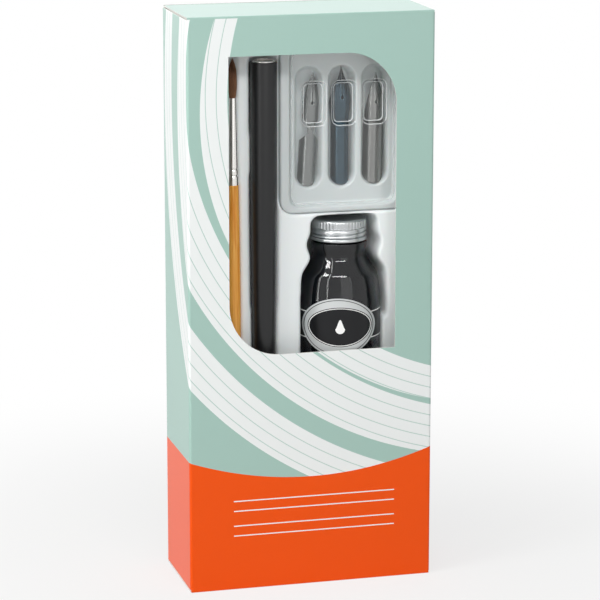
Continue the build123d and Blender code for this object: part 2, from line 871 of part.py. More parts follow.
def main_tray():
    """Moulded tray: raised rim, skirt to the back panel, and a room for each piece it holds."""
    t = tray_sheet
    width = 2 * tray_half_width
    rim = 2 * tray_rim_width
    place = Pos(0, tray_mid_z)
    outline = place * RectangleRounded(width, tray_height, tray_corner_radius)
    hollow = place * RectangleRounded(width - 2 * t, tray_height - 2 * t, tray_corner_radius - t)
    well = place * RectangleRounded(width - rim, tray_height - rim, tray_corner_radius)
    well_back = place * RectangleRounded(width - rim + 2 * t, tray_height - rim + 2 * t, tray_corner_radius + t)
    tray = front_prism(outline, tray_front, tray_back)
    tray -= front_prism(hollow, tray_front + t, tray_back + 1)
    tray += front_prism(well_back, tray_front, tray_face + t)
    behind = block(-half_width, half_width, tray_face, back, 0, carton_height)
    rooms = holder_room(t, tray_face) + brush_room(t, tray_face) + bottle_room(t, tray_face)
    tray += rooms & behind
    tray += front_prism(nib_tray_outline(nib_tray_fit + t), tray_face, nib_tray_back + t)
    tray -= front_prism(well, tray_front - 1, tray_face)
    tray -= front_prism(nib_tray_outline(nib_tray_fit), tray_face - 1, nib_tray_back)
    for cut in (holder_room(0, tray_face - 1), brush_room(0, tray_face - 1), bottle_room(0, tray_face - 1)):
        tray -= cut
    notch_front = back - board - tray_notch_depth
    for z0 in (0, carton_height - tray_notch_height):
        tray -= block(-half_width, half_width, notch_front, back, z0, z0 + tray_notch_height)
    return tray


def build():
    """Every node by its name."""
    return {
        "front_panel": front_panel(),
        "back_panel": back_panel(),
        "left_panel": side_panel(-1),
        "right_panel": side_panel(1),
        "glue_flap": glue_flap(),
        "top_panel": lid_panel(True),
        "top_tuck_tongue": tuck_tongue(True),
        "top_dust_flap_left": dust_flap(-1, True),
        "top_dust_flap_right": dust_flap(1, True),
        "bottom_panel": lid_panel(False),
        "bottom_tuck_tongue": tuck_tongue(False),
        "bottom_dust_flap_left": dust_flap(-1, False),
        "bottom_dust_flap_right": dust_flap(1, False),
        "main_tray": main_tray(),
        "nib_tray": nib_tray(),
        "nib_cover": nib_cover(),
        "waisted_nib": waisted_nib(),
        "broad_nib": broad_nib(),
        "slim_nib": slim_nib(),
        "brush_handle": brush_handle(),
        "brush_ferrule": brush_ferrule(),
        "brush_hair": brush_hair(),
        "holder_body": holder_body(),
        "holder_ring": holder_ring(),
        "holder_clip": holder_clip(),
        "bottle_glass": bottle_glass(),
        "bottle_ink": bottle_ink(),
        "bottle_label": bottle_label(),
        "bottle_cap": cap_shell(),
        "cap_liner": cap_liner(),
    }


os.makedirs("parts", exist_ok=True)
for name, shape in build().items():
    export_step(shape, f"parts/{name}.step")
    print(name, len(shape.solids()), round(shape.volume, 2))
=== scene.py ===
"""Looks of a boxed dip pen set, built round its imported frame.

Everything stands in the frame's own axes: X to the right, Y to the back, Z up, metres. Sizes inside
the classes are in millimetres and become metres when a mesh is made.
"""

import logging
import math
from dataclasses import dataclass
from enum import Enum
from functools import partial

import bmesh
import bpy
import numpy as np
from mathutils import Matrix, Vector


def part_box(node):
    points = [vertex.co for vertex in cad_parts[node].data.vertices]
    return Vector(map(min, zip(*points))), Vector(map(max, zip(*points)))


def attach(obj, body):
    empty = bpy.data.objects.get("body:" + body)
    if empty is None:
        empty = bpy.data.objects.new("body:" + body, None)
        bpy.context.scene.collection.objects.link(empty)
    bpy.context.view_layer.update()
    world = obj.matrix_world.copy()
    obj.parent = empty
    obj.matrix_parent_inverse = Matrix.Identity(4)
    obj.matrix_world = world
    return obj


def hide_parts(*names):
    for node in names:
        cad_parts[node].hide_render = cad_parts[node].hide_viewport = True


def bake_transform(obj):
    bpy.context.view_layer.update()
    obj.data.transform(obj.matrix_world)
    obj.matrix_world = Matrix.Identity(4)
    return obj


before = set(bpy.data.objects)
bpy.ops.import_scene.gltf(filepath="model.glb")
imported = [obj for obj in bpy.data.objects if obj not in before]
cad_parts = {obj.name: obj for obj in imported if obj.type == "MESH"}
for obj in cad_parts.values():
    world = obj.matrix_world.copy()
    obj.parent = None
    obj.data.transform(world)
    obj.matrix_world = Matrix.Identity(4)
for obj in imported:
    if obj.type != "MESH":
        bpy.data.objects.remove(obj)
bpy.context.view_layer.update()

MM = 0.001
WELD = 2e-6  # Points nearer than this, in metres, become one.
LOG = logging.getLogger("dip_pen_set")


class Body(Enum):
    """Moving bodies of the frame."""

    BOX = "box"
    TOP_LID = "top_lid"
    BOTTOM_LID = "bottom_lid"
    SCREW_CAP = "screw_cap"


@dataclass(frozen=True)
class Seat:
    """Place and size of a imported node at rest, in millimetres."""

    low: np.ndarray
    high: np.ndarray

    @classmethod
    def of(cls, node: str) -> "Seat":
        """Reads a node's corners from the frame."""
        low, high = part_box(node)
        return cls(np.array(low) / MM, np.array(high) / MM)

    @property
    def middle(self) -> np.ndarray:
        """Centre of the node."""
        return (self.low + self.high) / 2

    @property
    def size(self) -> np.ndarray:
        """Extents of the node."""
        return self.high - self.low


def linear(colour: str) -> tuple[float, float, float, float]:
    """Turns an sRGB hex colour into linear red, green, blue and alpha.

    A channel up to 0.04045 is divided by 12.92. A higher one plus 0.055, over 1.055, is raised to 2.4.

    Args:
        colour: Six hex digits after a hash sign.

    Returns:
        Linear values from 0 to 1, with an alpha of 1.
    """
    channels = np.array([int(colour[i : i + 2], 16) for i in (1, 3, 5)]) / 255
    low = channels / 12.92
    high = ((channels + 0.055) / 1.055) ** 2.4
    return (*np.where(channels <= 0.04045, low, high).tolist(), 1.0)


def add_node(tree: bpy.types.NodeTree, kind: str, inputs: dict | None = None, **settings) -> bpy.types.Node:
    """Adds a shader node with its settings and links.

    Args:
        tree: Node tree to add to.
        kind: Blender's name of the node's type.
        inputs: Socket name or number to a value, or to the output that is linked to it.
        settings: Properties of the node.

    Returns:
        The new node.
    """
    node = tree.nodes.new(kind)
    for name, value in settings.items():
        setattr(node, name, value)
    for socket, value in (inputs or {}).items():
        if isinstance(value, bpy.types.NodeSocket):
            tree.links.new(value, node.inputs[socket])
        else:
            node.inputs[socket].default_value = value
    return node


def maths(tree: bpy.types.NodeTree, operation: str, *values: bpy.types.NodeSocket | float) -> bpy.types.NodeSocket:
    """Adds a maths node with its values in order, and returns its output."""
    return add_node(tree, "ShaderNodeMath", dict(enumerate(values)), operation=operation).outputs[0]


def mixed(
    tree: bpy.types.NodeTree,
    share: bpy.types.NodeSocket,
    first: bpy.types.NodeSocket | tuple[float, ...],
    second: bpy.types.NodeSocket | tuple[float, ...],
) -> bpy.types.NodeSocket:
    """Adds a mix of two colours, the first at a share of 0 and the second at 1, and returns its output."""
    # In a colour mix the sockets 0, 6 and 7 are the share and the two colours, and output 2 is the result.
    return add_node(tree, "ShaderNodeMix", {0: share, 6: first, 7: second}, data_type="RGBA").outputs[2]


# Curves and surfaces


def flow(places: list[float], values: list[float], at: np.ndarray) -> np.ndarray:
    """Smooth curve through stations that doesn't swing past them.

    Between two stations it is the cubic with the slopes of a monotone interpolation: the harmonic mean
    of the neighbouring chords' slopes, or zero where they differ in sign.

    Args:
        places: Rising positions of the stations.
        values: Value at each station.
        at: Positions to read the curve at.

    Returns:
        Values of the curve.
    """
    x, y = np.array(places, float), np.array(values, float)
    step = np.diff(x)
    chord = np.diff(y) / step
    slope = np.zeros_like(x)
    product = chord[:-1] * chord[1:]
    total = chord[:-1] + chord[1:]
    slope[1:-1] = np.where(product > 0, 2 * product / np.where(total == 0, 1, total), 0)
    slope[0], slope[-1] = chord[0], chord[-1]
    span = np.clip(np.searchsorted(x, at, side="right") - 1, 0, len(step) - 1)
    t = np.clip((at - x[span]) / step[span], 0, 1)
    start = (1 + 2 * t) * (1 - t) ** 2 * y[span] + t * (1 - t) ** 2 * step[span] * slope[span]
    end = t**2 * (3 - 2 * t) * y[span + 1] + t**2 * (t - 1) * step[span] * slope[span + 1]
    return start + end


def soft_corners(corners: list[tuple[float, float, float]], steps: int = 6) -> np.ndarray:
    """Polyline with rounded corners: each corner is a quadratic curve that starts and ends its rounding away.

    Args:
        corners: (radius, height, rounding) of each corner.
        steps: Points in each rounded corner.

    Returns:
        Points as (radius, height) rows.
    """
    points = np.array([corner[:2] for corner in corners], float)
    out = [points[:1]]
    for before, here, after, (_, _, rounding) in zip(points, points[1:], points[2:], corners[1:-1]):
        arms = [before - here, after - here]
        lengths = [np.linalg.norm(arm) for arm in arms]
        reach = min(rounding, *(length * 0.49 for length in lengths))
        if reach <= 0:
            out.append(here[None])
            continue
        start, end = (here + arm / length * reach for arm, length in zip(arms, lengths))
        t = np.linspace(0, 1, steps)[:, None]
        out.append((1 - t) ** 2 * start + 2 * t * (1 - t) * here + t**2 * end)
    out.append(points[-1:])
    return np.vstack(out)


def refined(profile: np.ndarray, longest: float) -> np.ndarray:
    """Cuts the long stretches of a profile into equal steps.

    Args:
        profile: (radius, height) rows.
        longest: Greatest length of a step.

    Returns:
        The profile with the points between.
    """
    out = [profile[:1]]
    for start, end in zip(profile, profile[1:]):
        count = max(1, math.ceil(np.linalg.norm(end - start) / longest))
        t = np.linspace(0, 1, count + 1)[1:, None]
        out.append(start + (end - start) * t)
    return np.vstack(out)


def turned(profile: np.ndarray, x: float, y: float, sides: int = 96) -> np.ndarray:
    """Profile carried round an upright axis: (x + r cos a, y + r sin a, height).

    Args:
        profile: (radius, height) rows.
        x: Place of the axis along X.
        y: Place of the axis along Y.
        sides: Steps round the axis.

    Returns:
        Grid of points, one row for each angle.
    """
    angle = np.linspace(0, 2 * np.pi, sides, endpoint=False)[:, None]
    radius, height = profile[None, :, 0], profile[None, :, 1]
    across = x + radius * np.cos(angle)
    deep = y + radius * np.sin(angle)
    return np.stack([across, deep, np.broadcast_to(height, across.shape)], -1)


def rounded_box(x: np.ndarray, z: np.ndarray, half: tuple[float, float], corner: float) -> np.ndarray:
    """Signed distance to a rounded rectangle round the origin, negative inside.

    It is the length of the part of (|x|, |z|) that lies beyond the corner centres, less the corner's radius.

    Args:
        x: Places across.
        z: Places up.
        half: Half the width and half the height.
        corner: Radius of the corners.

    Returns:
        The distance at each place.
    """
    qx, qz = np.abs(x) - half[0] + corner, np.abs(z) - half[1] + corner
    outside = np.hypot(np.maximum(qx, 0), np.maximum(qz, 0))
    return outside + np.minimum(np.maximum(qx, qz), 0) - corner


def eased(share: np.ndarray) -> np.ndarray:
    """Smooth step from 0 to 1: 3 t squared less 2 t cubed."""
    t = np.clip(share, 0, 1)
    return t * t * (3 - 2 * t)


class Surfaces:
    """Grids of points that are gathered into one mesh."""

    def __init__(self) -> None:
        """Starts with no points."""
        self.points: list[np.ndarray] = []
        self.faces: list[np.ndarray] = []
        self.finishes: list[np.ndarray] = []
        self.count = 0

    def add(self, grid: np.ndarray, closed: bool = False, finish: int = 0, flip: bool = False) -> "Surfaces":
        """Adds a grid of points as quads.

        Args:
            grid: Points in rows and columns, millimetres.
            closed: Joins the last row to the first.
            finish: Number of the material slot.
            flip: Turns the faces round.

        Returns:
            This collection.
        """
        rows, columns = grid.shape[:2]
        index = np.arange(rows * columns).reshape(rows, columns) + self.count
        if closed:
            index = np.vstack([index, index[:1]])
        corners = [index[:-1, :-1], index[:-1, 1:], index[1:, 1:], index[1:, :-1]]
        return self.keep(grid, corners[::-1] if flip else corners, finish)

    def add_tubes(self, points: np.ndarray) -> "Surfaces":
        """Adds many tubes, each with its rings joined one to the next.

        Args:
            points: Points by tube, ring and corner, millimetres.

        Returns:
            This collection.
        """
        index = np.arange(points[..., 0].size).reshape(points.shape[:3]) + self.count
        index = np.concatenate([index, index[:, :, :1]], axis=2)
        corners = [index[:, :-1, :-1], index[:, :-1, 1:], index[:, 1:, 1:], index[:, 1:, :-1]]
        return self.keep(points, corners, 0)

    def keep(self, points: np.ndarray, corners: list[np.ndarray], finish: int) -> "Surfaces":
        """Keeps points and the quads between them.

        Args:
            points: Points in any arrangement, millimetres.
            corners: Numbers of the points at each quad's four corners.
            finish: Number of the material slot.

        Returns:
            This collection.
        """
        quads = np.stack(corners, -1).reshape(-1, 4)
        self.points.append(points.reshape(-1, 3))
        self.faces.append(quads)
        self.finishes.append(np.full(len(quads), finish))
        self.count += points.size // 3
        return self

    def piece(
        self,
        name: str,
        finishes: list[bpy.types.Material],
        body: Body | None,
        stands_for: tuple[str, ...] = (),
        slot: str | None = None,
        thickness: float = 0.0,
        outward: bool = True,
        sharp: float = 40.0,
    ) -> bpy.types.Object:
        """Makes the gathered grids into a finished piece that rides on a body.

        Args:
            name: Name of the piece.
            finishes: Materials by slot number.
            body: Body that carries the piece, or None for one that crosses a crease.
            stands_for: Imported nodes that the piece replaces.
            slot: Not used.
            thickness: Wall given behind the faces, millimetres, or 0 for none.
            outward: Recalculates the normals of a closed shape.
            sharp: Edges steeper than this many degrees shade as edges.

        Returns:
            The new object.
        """
        mesh = bpy.data.meshes.new(name)
        mesh.from_pydata((np.vstack(self.points) * MM).tolist(), [], np.vstack(self.faces).tolist())
        mesh.polygons.foreach_set("material_index", np.concatenate(self.finishes).astype(np.int32))
        for finish in finishes:
            mesh.materials.append(finish)
        form = bmesh.new()
        form.from_mesh(mesh)
        bmesh.ops.remove_doubles(form, verts=form.verts, dist=WELD)
        if outward:
            bmesh.ops.recalc_face_normals(form, faces=form.faces)
        form.to_mesh(mesh)
        form.free()
        mesh.shade_smooth()
        mesh.set_sharp_from_angle(angle=math.radians(sharp))
        thing = bpy.data.objects.new(name, mesh)
        bpy.context.scene.collection.objects.link(thing)
        if thickness:
            wall = thing.modifiers.new("wall", "SOLIDIFY")
            wall.thickness = thickness * MM
            wall.offset = -1
        if stands_for:
            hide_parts(*stands_for)
        if body:
            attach(thing, body.value)
        LOG.info("%s: %d faces", name, len(mesh.polygons))
        return thing


# Finishes


@dataclass(frozen=True)
class Finish:
    """One-colour finish with its gloss: the inputs of one shader, with plain plastic as the default."""

    name: str
    colour: str
    roughness: float
    metallic: float = 0.0
    ior: float = 1.5
    coat: float = 0.0
    coat_roughness: float = 0.05
    transmission: float = 0.0
    subsurface: float = 0.0

    def make(self) -> bpy.types.Material:
        """Builds the material.

        Returns:
            The new material.
        """
        material = bpy.data.materials.new(self.name)
        material.use_nodes = True
        tree = material.node_tree
        tree.nodes.clear()
        shader = add_node(
            tree,
            "ShaderNodeBsdfPrincipled",
            {
                "Base Color": linear(self.colour),
                "Roughness": self.roughness,
                "Metallic": self.metallic,
                "IOR": self.ior,
                "Coat Weight": self.coat,
                "Coat Roughness": self.coat_roughness,
                "Transmission Weight": self.transmission,
                "Subsurface Weight": self.subsurface,
                "Subsurface Scale": 1.0 * MM,
            },
        )
        surface = self.dress(tree, shader)
        add_node(tree, "ShaderNodeOutputMaterial", {"Surface": surface})
        return material

    def dress(self, tree: bpy.types.NodeTree, shader: bpy.types.Node) -> bpy.types.NodeSocket:
        """Adds what the plain shader lacks, and returns the surface's output."""
        return shader.outputs[0]


def place_in_mm(tree: bpy.types.NodeTree) -> bpy.types.NodeSocket:
    """Adds the object's coordinates in millimetres.

    Args:
        tree: Node tree of a material.

    Returns:
        The coordinates as a vector.
    """
    coordinates = add_node(tree, "ShaderNodeTexCoord")
    inputs = {0: coordinates.outputs["Object"], "Scale": 1 / MM}
    return add_node(tree, "ShaderNodeVectorMath", inputs, operation="SCALE").outputs[0]


@dataclass(frozen=True)
class Grained(Finish):
    """Finish with a fine irregular relief, such as moulded sheet or paper.

    grain is the distance between the relief's bumps and relief their height, both in millimetres.
    """

    grain: float = 1.0
    relief: float = 0.01

    def dress(self, tree: bpy.types.NodeTree, shader: bpy.types.Node) -> bpy.types.NodeSocket:
        """Adds the relief as a bump.

        Args:
            tree: Node tree of the material.
            shader: The plain shader.

        Returns:
            The surface's output.
        """
        noise = add_node(tree, "ShaderNodeTexNoise", {"Vector": place_in_mm(tree), "Scale": 1 / self.grain})
        bump = add_node(tree, "ShaderNodeBump", {"Height": noise.outputs[0], "Distance": self.relief * MM})
        tree.links.new(bump.outputs[0], shader.inputs["Normal"])
        return shader.outputs[0]


@dataclass(frozen=True)
class Drawn(Finish):
    """Wood or hair whose colour varies along narrow streaks that run up the piece.

    streak is the width of a streak and run its length, in millimetres. spread is the part of the noise
    over which the first colour turns into the second.
    """

    second: str = "#000000"
    streak: float = 0.4
    run: float = 9.0
    spread: tuple[float, float] = (0.35, 0.65)

    def dress(self, tree: bpy.types.NodeTree, shader: bpy.types.Node) -> bpy.types.NodeSocket:
        """Mixes the two colours by a stretched noise.

        Args:
            tree: Node tree of the material.
            shader: The plain shader.

        Returns:
            The surface's output.
        """
        scale = (1 / self.streak, 1 / self.streak, 1 / self.run)
        stretched = add_node(tree, "ShaderNodeVectorMath", {0: place_in_mm(tree), 1: scale}, operation="MULTIPLY")
        inputs = {"Vector": stretched.outputs[0], "Scale": 1.0, "Detail": 3.0}
        noise = add_node(tree, "ShaderNodeTexNoise", inputs).outputs[0]
        ends = {"Value": noise, "From Min": self.spread[0], "From Max": self.spread[1]}
        share = add_node(tree, "ShaderNodeMapRange", ends).outputs[0]
        tree.links.new(mixed(tree, share, linear(self.colour), linear(self.second)), shader.inputs["Base Color"])
        return shader.outputs[0]


@dataclass(frozen=True)
class DarkTipped(Grained):
    """Spring steel that is darker towards the nib's tip.

    tip_z is the tip's height and tip_reach how far below it the dark runs, both in millimetres.
    """

    tip: str = "#5E6060"
    tip_z: float = 160.0
    tip_reach: float = 9.0

    def dress(self, tree: bpy.types.NodeTree, shader: bpy.types.Node) -> bpy.types.NodeSocket:
        """Mixes the tip's colour in over the relief, by a smooth step from tip_reach to a third of it below the tip.

        Args:
            tree: Node tree of the material.
            shader: The plain shader.

        Returns:
            The surface's output.
        """
        height = add_node(tree, "ShaderNodeSeparateXYZ", {0: place_in_mm(tree)}).outputs[2]
        start, end = self.tip_z - self.tip_reach, self.tip_z - self.tip_reach / 3
        ends = {"Value": height, "From Min": start, "From Max": end}
        share = add_node(tree, "ShaderNodeMapRange", ends, interpolation_type="SMOOTHSTEP").outputs[0]
        tree.links.new(mixed(tree, share, linear(self.colour), linear(self.tip)), shader.inputs["Base Color"])
        return super().dress(tree, shader)


@dataclass(frozen=True)
class Clear(Finish):
    """Clear sheet or glass that lets the lamps' light through to what lies behind it."""

    def dress(self, tree: bpy.types.NodeTree, shader: bpy.types.Node) -> bpy.types.NodeSocket:
        """Gives shadow rays and scattered light a clear way through.

        Args:
            tree: Node tree of the material.
            shader: The plain shader.

        Returns:
            The surface's output.
        """
        path = add_node(tree, "ShaderNodeLightPath")
        share = maths(tree, "MAXIMUM", path.outputs["Is Shadow Ray"], path.outputs["Is Diffuse Ray"])
        clear = add_node(tree, "ShaderNodeBsdfTransparent")
        inputs = {0: share, 1: shader.outputs[0], 2: clear.outputs[0]}
        return add_node(tree, "ShaderNodeMixShader", inputs).outputs[0]


@dataclass(frozen=True)
class ClearFilm(Clear):
    """Clear moulded film with painted highlights: pale lines are painted where its creases catch the light.

    The bend at a point is 1 less the size of the normal's depth part: 0 on the face, near 0.5 on a wall.
    bend gives where the pale share starts, where it is highest, with a value of weight, and where it ends.
    """

    crease: str = "#F4F7F7"
    crease_highlight_roughness: float = 0.15
    bend: tuple[float, float, float] = (0.03, 0.14, 0.4)
    weight: float = 0.75

    def dress(self, tree: bpy.types.NodeTree, shader: bpy.types.Node) -> bpy.types.NodeSocket:
        """Mixes a pale surface in, as a painted highlight, where the film turns from its face into a wall.

        Args:
            tree: Node tree of the material.
            shader: The plain shader.

        Returns:
            The surface's output.
        """
        normal = add_node(tree, "ShaderNodeTexCoord").outputs["Normal"]
        depth = maths(tree, "ABSOLUTE", add_node(tree, "ShaderNodeSeparateXYZ", {0: normal}).outputs[1])
        bend = maths(tree, "SUBTRACT", 1.0, depth)
        low, middle, high = self.bend
        rise = {"Value": bend, "From Min": low, "From Max": middle}
        fall = {"Value": bend, "From Min": high, "From Max": middle}
        ramps = [add_node(tree, "ShaderNodeMapRange", ramp).outputs[0] for ramp in (rise, fall)]
        share = maths(tree, "MULTIPLY", maths(tree, "MINIMUM", *ramps), self.weight)
        # Painted highlight: a pale, fairly rough surface mixed in at the creases.
        inputs = {"Base Color": linear(self.crease), "Roughness": self.crease_highlight_roughness}
        pale = add_node(tree, "ShaderNodeBsdfPrincipled", inputs).outputs[0]
        film = add_node(tree, "ShaderNodeMixShader", {0: share, 1: shader.outputs[0], 2: pale})
        return super().dress(tree, film)


class Side(Enum):
    """Which face of a board carries the print."""

    WALL = "wall"
    END = "end"


@dataclass(frozen=True)
class Stroke:
    """White crescent in the print: inside one circle and outside another, in unfolded millimetres."""

    across: float
    up: float
    outer: float
    shift_across: float
    shift_up: float
    inner: float


@dataclass(frozen=True)
class PrintedBoard(Finish):
    """Coated folding board: offset print on its outer face, bare pale board on its cuts and inside.

    Sizes are in millimetres. base_low is the height of the base colour's edge in the middle of the front and
    base_rise how much higher it is at the sides. fold is the outer radius of the corners, and skin the depth
    that counts as the outer face. hairline_share is how much of the white a hairline takes away.
    """

    side: Side = Side.WALL
    bare: str = "#E4E3DE"
    bare_roughness: float = 0.75
    white: str = "#EEF1F0"
    base: str = "#F25300"
    half_width: float = 39.0
    half_depth: float = 16.5
    height: float = 180.0
    fold: float = 0.8
    skin: float = 0.07
    base_low: float = 35.0
    base_rise: float = 7.0
    hairline_pitch: float = 3.4
    hairline_width: float = 0.28
    hairline_share: float = 0.75
    strokes: tuple[Stroke, ...] = (
        Stroke(60, 150, 112, 6, 8, 106),
        Stroke(60, 150, 130, 4, 5, 124),
        Stroke(60, 150, 95, 4, 5, 90.5),
    )
    rules: tuple[float, ...] = (28.6, 25.4, 20.6, 17.4)
    rule_ends: tuple[float, float] = (-25.0, 27.0)
    rule_width: float = 0.36

    def dress(self, tree: bpy.types.NodeTree, shader: bpy.types.Node) -> bpy.types.NodeSocket:
        """Paints the printed face and leaves the rest bare.

        The base colour reaches up to base_low plus base_rise times the square of the share of the way from
        the middle of the front to its side.

        Args:
            tree: Node tree of the material.
            shader: The plain shader.

        Returns:
            The surface's output.
        """
        calc, mix = partial(maths, tree), partial(mixed, tree)
        parts = add_node(tree, "ShaderNodeSeparateXYZ", {0: place_in_mm(tree)})
        x, y, z = parts.outputs[0], parts.outputs[1], parts.outputs[2]
        print_colour, white, base = linear(self.colour), linear(self.white), linear(self.base)
        if self.side is Side.WALL:
            across = self.unrolled(tree, x, y)
            edge = calc("DIVIDE", calc("MINIMUM", calc("ABSOLUTE", across), self.half_width), self.half_width)
            base_top = calc("MULTIPLY_ADD", calc("MULTIPLY", edge, edge), self.base_rise, self.base_low)
            face = mix(self.white_share(tree, across, z), print_colour, white)
            face = mix(calc("LESS_THAN", z, base_top), face, base)
            face = mix(self.ruled(tree, across, z), face, white)
            printed = self.wall_face(tree, x, y)
        else:
            middle = self.height / 2
            face = mix(calc("LESS_THAN", z, middle), print_colour, base)
            printed = calc("GREATER_THAN", calc("ABSOLUTE", calc("SUBTRACT", z, middle)), middle - self.skin)
        tree.links.new(mix(printed, linear(self.bare), face), shader.inputs["Base Color"])
        ends = {"Value": printed, "To Min": self.bare_roughness, "To Max": self.roughness}
        tree.links.new(add_node(tree, "ShaderNodeMapRange", ends).outputs[0], shader.inputs["Roughness"])
        return shader.outputs[0]

    def unrolled(
        self, tree: bpy.types.NodeTree, x: bpy.types.NodeSocket, y: bpy.types.NodeSocket
    ) -> bpy.types.NodeSocket:
        """Place across the print as it lies flat.

        It is X on the front, and X with the depth behind the front added away from the middle on a side. On
        the back it runs on from the left side: less twice the half width and half depth together, less X.

        Args:
            tree: Node tree of the material.
            x: Place across the carton.
            y: Depth in the carton.

        Returns:
            The place across.
        """
        calc = partial(maths, tree)
        from_front = calc("ADD", y, self.half_depth)
        round_corner = calc("ADD", x, calc("MULTIPLY", calc("SIGN", x), from_front))
        behind = calc("SUBTRACT", -2 * (self.half_width + self.half_depth), x)
        at_back = calc("GREATER_THAN", from_front, 2 * self.half_depth - self.fold)
        on_back = calc("MULTIPLY", at_back, calc("LESS_THAN", calc("ABSOLUTE", x), self.half_width - self.skin))
        return calc("ADD", round_corner, calc("MULTIPLY", on_back, calc("SUBTRACT", behind, round_corner)))

    def white_share(
        self, tree: bpy.types.NodeTree, across: bpy.types.NodeSocket, z: bpy.types.NodeSocket
    ) -> bpy.types.NodeSocket:
        """Share of white: the crescents, less the hairlines that run along them.

        A hairline is where the distance past the inner circle is a whole number of pitches, but not 0.

        Args:
            tree: Node tree of the material.
            across: Place across the unrolled print.
            z: Height.

        Returns:
            The share from 0 to 1.
        """
        calc = partial(maths, tree)
        spot = add_node(tree, "ShaderNodeCombineXYZ", {0: across, 1: z}).outputs[0]
        total = 0.0
        for stroke in self.strokes:
            near = (stroke.across, stroke.up, 0)
            far = (stroke.across + stroke.shift_across, stroke.up + stroke.shift_up, 0)
            from_outer, from_inner = (
                add_node(tree, "ShaderNodeVectorMath", {0: spot, 1: centre}, operation="DISTANCE").outputs[1]
                for centre in (near, far)
            )
            inside = calc("LESS_THAN", from_outer, stroke.outer)
            crescent = calc("MULTIPLY", inside, calc("GREATER_THAN", from_inner, stroke.inner))
            beyond = calc("SUBTRACT", from_inner, stroke.inner)
            line = calc("LESS_THAN", calc("PINGPONG", beyond, self.hairline_pitch / 2), self.hairline_width / 2)
            line = calc("MULTIPLY", line, calc("GREATER_THAN", beyond, self.hairline_pitch / 2))
            kept = calc("SUBTRACT", 1.0, calc("MULTIPLY", line, self.hairline_share))
            total = calc("MAXIMUM", total, calc("MULTIPLY", kept, crescent))
        return total

    def ruled(
        self, tree: bpy.types.NodeTree, across: bpy.types.NodeSocket, z: bpy.types.NodeSocket
    ) -> bpy.types.NodeSocket:
        """1 on the thin ruled writing lines over the base colour.

        Args:
            tree: Node tree of the material.
            across: Place across the unrolled print.
            z: Height.

        Returns:
            1 on a line and 0 elsewhere.
        """
        calc = partial(maths, tree)
        start, end = self.rule_ends
        span = calc("MULTIPLY", calc("GREATER_THAN", across, start), calc("LESS_THAN", across, end))
        lines = 0.0
        for height in self.rules:
            line = calc("LESS_THAN", calc("ABSOLUTE", calc("SUBTRACT", z, height)), self.rule_width / 2)
            lines = calc("MAXIMUM", lines, line)
        return calc("MULTIPLY", span, lines)

    def wall_face(
        self, tree: bpy.types.NodeTree, x: bpy.types.NodeSocket, y: bpy.types.NodeSocket
    ) -> bpy.types.NodeSocket:
        """1 on the outer skin of the folded walls, from the signed distance to their rounded plan.

        Args:
            tree: Node tree of the material.
            x: Place across the carton.
            y: Depth in the carton.

        Returns:
            1 on the outer skin and 0 elsewhere.
        """
        calc = partial(maths, tree)
        qx = calc("SUBTRACT", calc("ABSOLUTE", x), self.half_width - self.fold)
        qy = calc("SUBTRACT", calc("ABSOLUTE", y), self.half_depth - self.fold)
        beyond_x, beyond_y = calc("MAXIMUM", qx, 0.0), calc("MAXIMUM", qy, 0.0)
        squares = calc("ADD", calc("MULTIPLY", beyond_x, beyond_x), calc("MULTIPLY", beyond_y, beyond_y))
        inner = calc("MINIMUM", calc("MAXIMUM", qx, qy), 0.0)
        reach = calc("ADD", calc("SQRT", squares), inner)
        return calc("GREATER_THAN", reach, self.fold - self.skin)


# Coated folding board: offset print under a thin varnish, so a soft sheen but no clear mirror image.
WALL_BOARD = PrintedBoard("coated_board_printed_walls", "#A6C5BB", 0.32, ior=1.3)
END_BOARD = PrintedBoard("coated_board_printed_ends", "#A6C5BB", 0.32, ior=1.3, side=Side.END)
# The same varnished print in one colour, for the tongues and the creases.
PLAIN_PRINT = Finish("coated_board_plain_print", "#A6C5BB", 0.32, ior=1.3)
BASE_PRINT = Finish("coated_board_base_print", END_BOARD.base, 0.32, ior=1.3)
# The board's uncoated back, on the dust flaps and the glue flap: grey-white and matt, with a fibrous relief.
# Real fibres are about 0.02 mm wide, too fine to see, so they are drawn coarser.
BARE_BOARD = Grained("bare_board", "#E4E3DE", 0.8, grain=0.5, relief=0.01)
# Thermoformed polystyrene: white with a wide soft gloss, and a little light comes through it. The grain that
# the mould leaves, about 0.2 mm, is drawn coarser, as the slight waviness of the whole sheet.
TRAY_SHEET = Grained("thermoformed_polystyrene", "#F1F5F5", 0.38, subsurface=0.06, grain=1.6, relief=0.012)
# The nib tray's thinner sheet, coloured greyer than the main tray: painted shade for the shaded well behind it.
NIB_TRAY_PAINTED_SHADE_SHEET = Grained("thin_polystyrene_painted_shade", "#CCD2D2", 0.38, subsurface=0.06, grain=1.6, relief=0.012)
# Clear PET film: nearly unseen on its face, with small sharp glints, and painted highlights as pale lines at its
# creases.
CLEAR_SHEET = ClearFilm("clear_pet_film", "#FDFEFE", 0.03, ior=1.45, transmission=1.0)
# Spring steel, polished, milled or blued: grey mirrors that darken to the tip. The polished one shows soft
# bands of light, the milled one duller bands, the blued one a narrow streak on dark blue-grey. Rolling marks
# of about 0.05 mm are too fine to see, and are drawn coarser.
NIB_STEEL = DarkTipped("polished_spring_steel", "#7B7D7C", 0.14, metallic=1.0, grain=0.45, relief=0.02, tip_z=160.5)
SLIM_STEEL = DarkTipped("milled_spring_steel", "#7E7E7C", 0.2, metallic=1.0, grain=0.3, relief=0.03, tip_z=160.0)
BLUED_STEEL = DarkTipped(
    "blued_spring_steel", "#3C4E58", 0.11, metallic=1.0, grain=0.45, relief=0.016, tip="#14171A", tip_z=162.5
)
# Nickel plate of the ring and the ferrule: a bright, slightly warm mirror with soft-edged streaks.
NICKEL = Finish("nickel_plate", "#DEDCD8", 0.16, metallic=1.0)
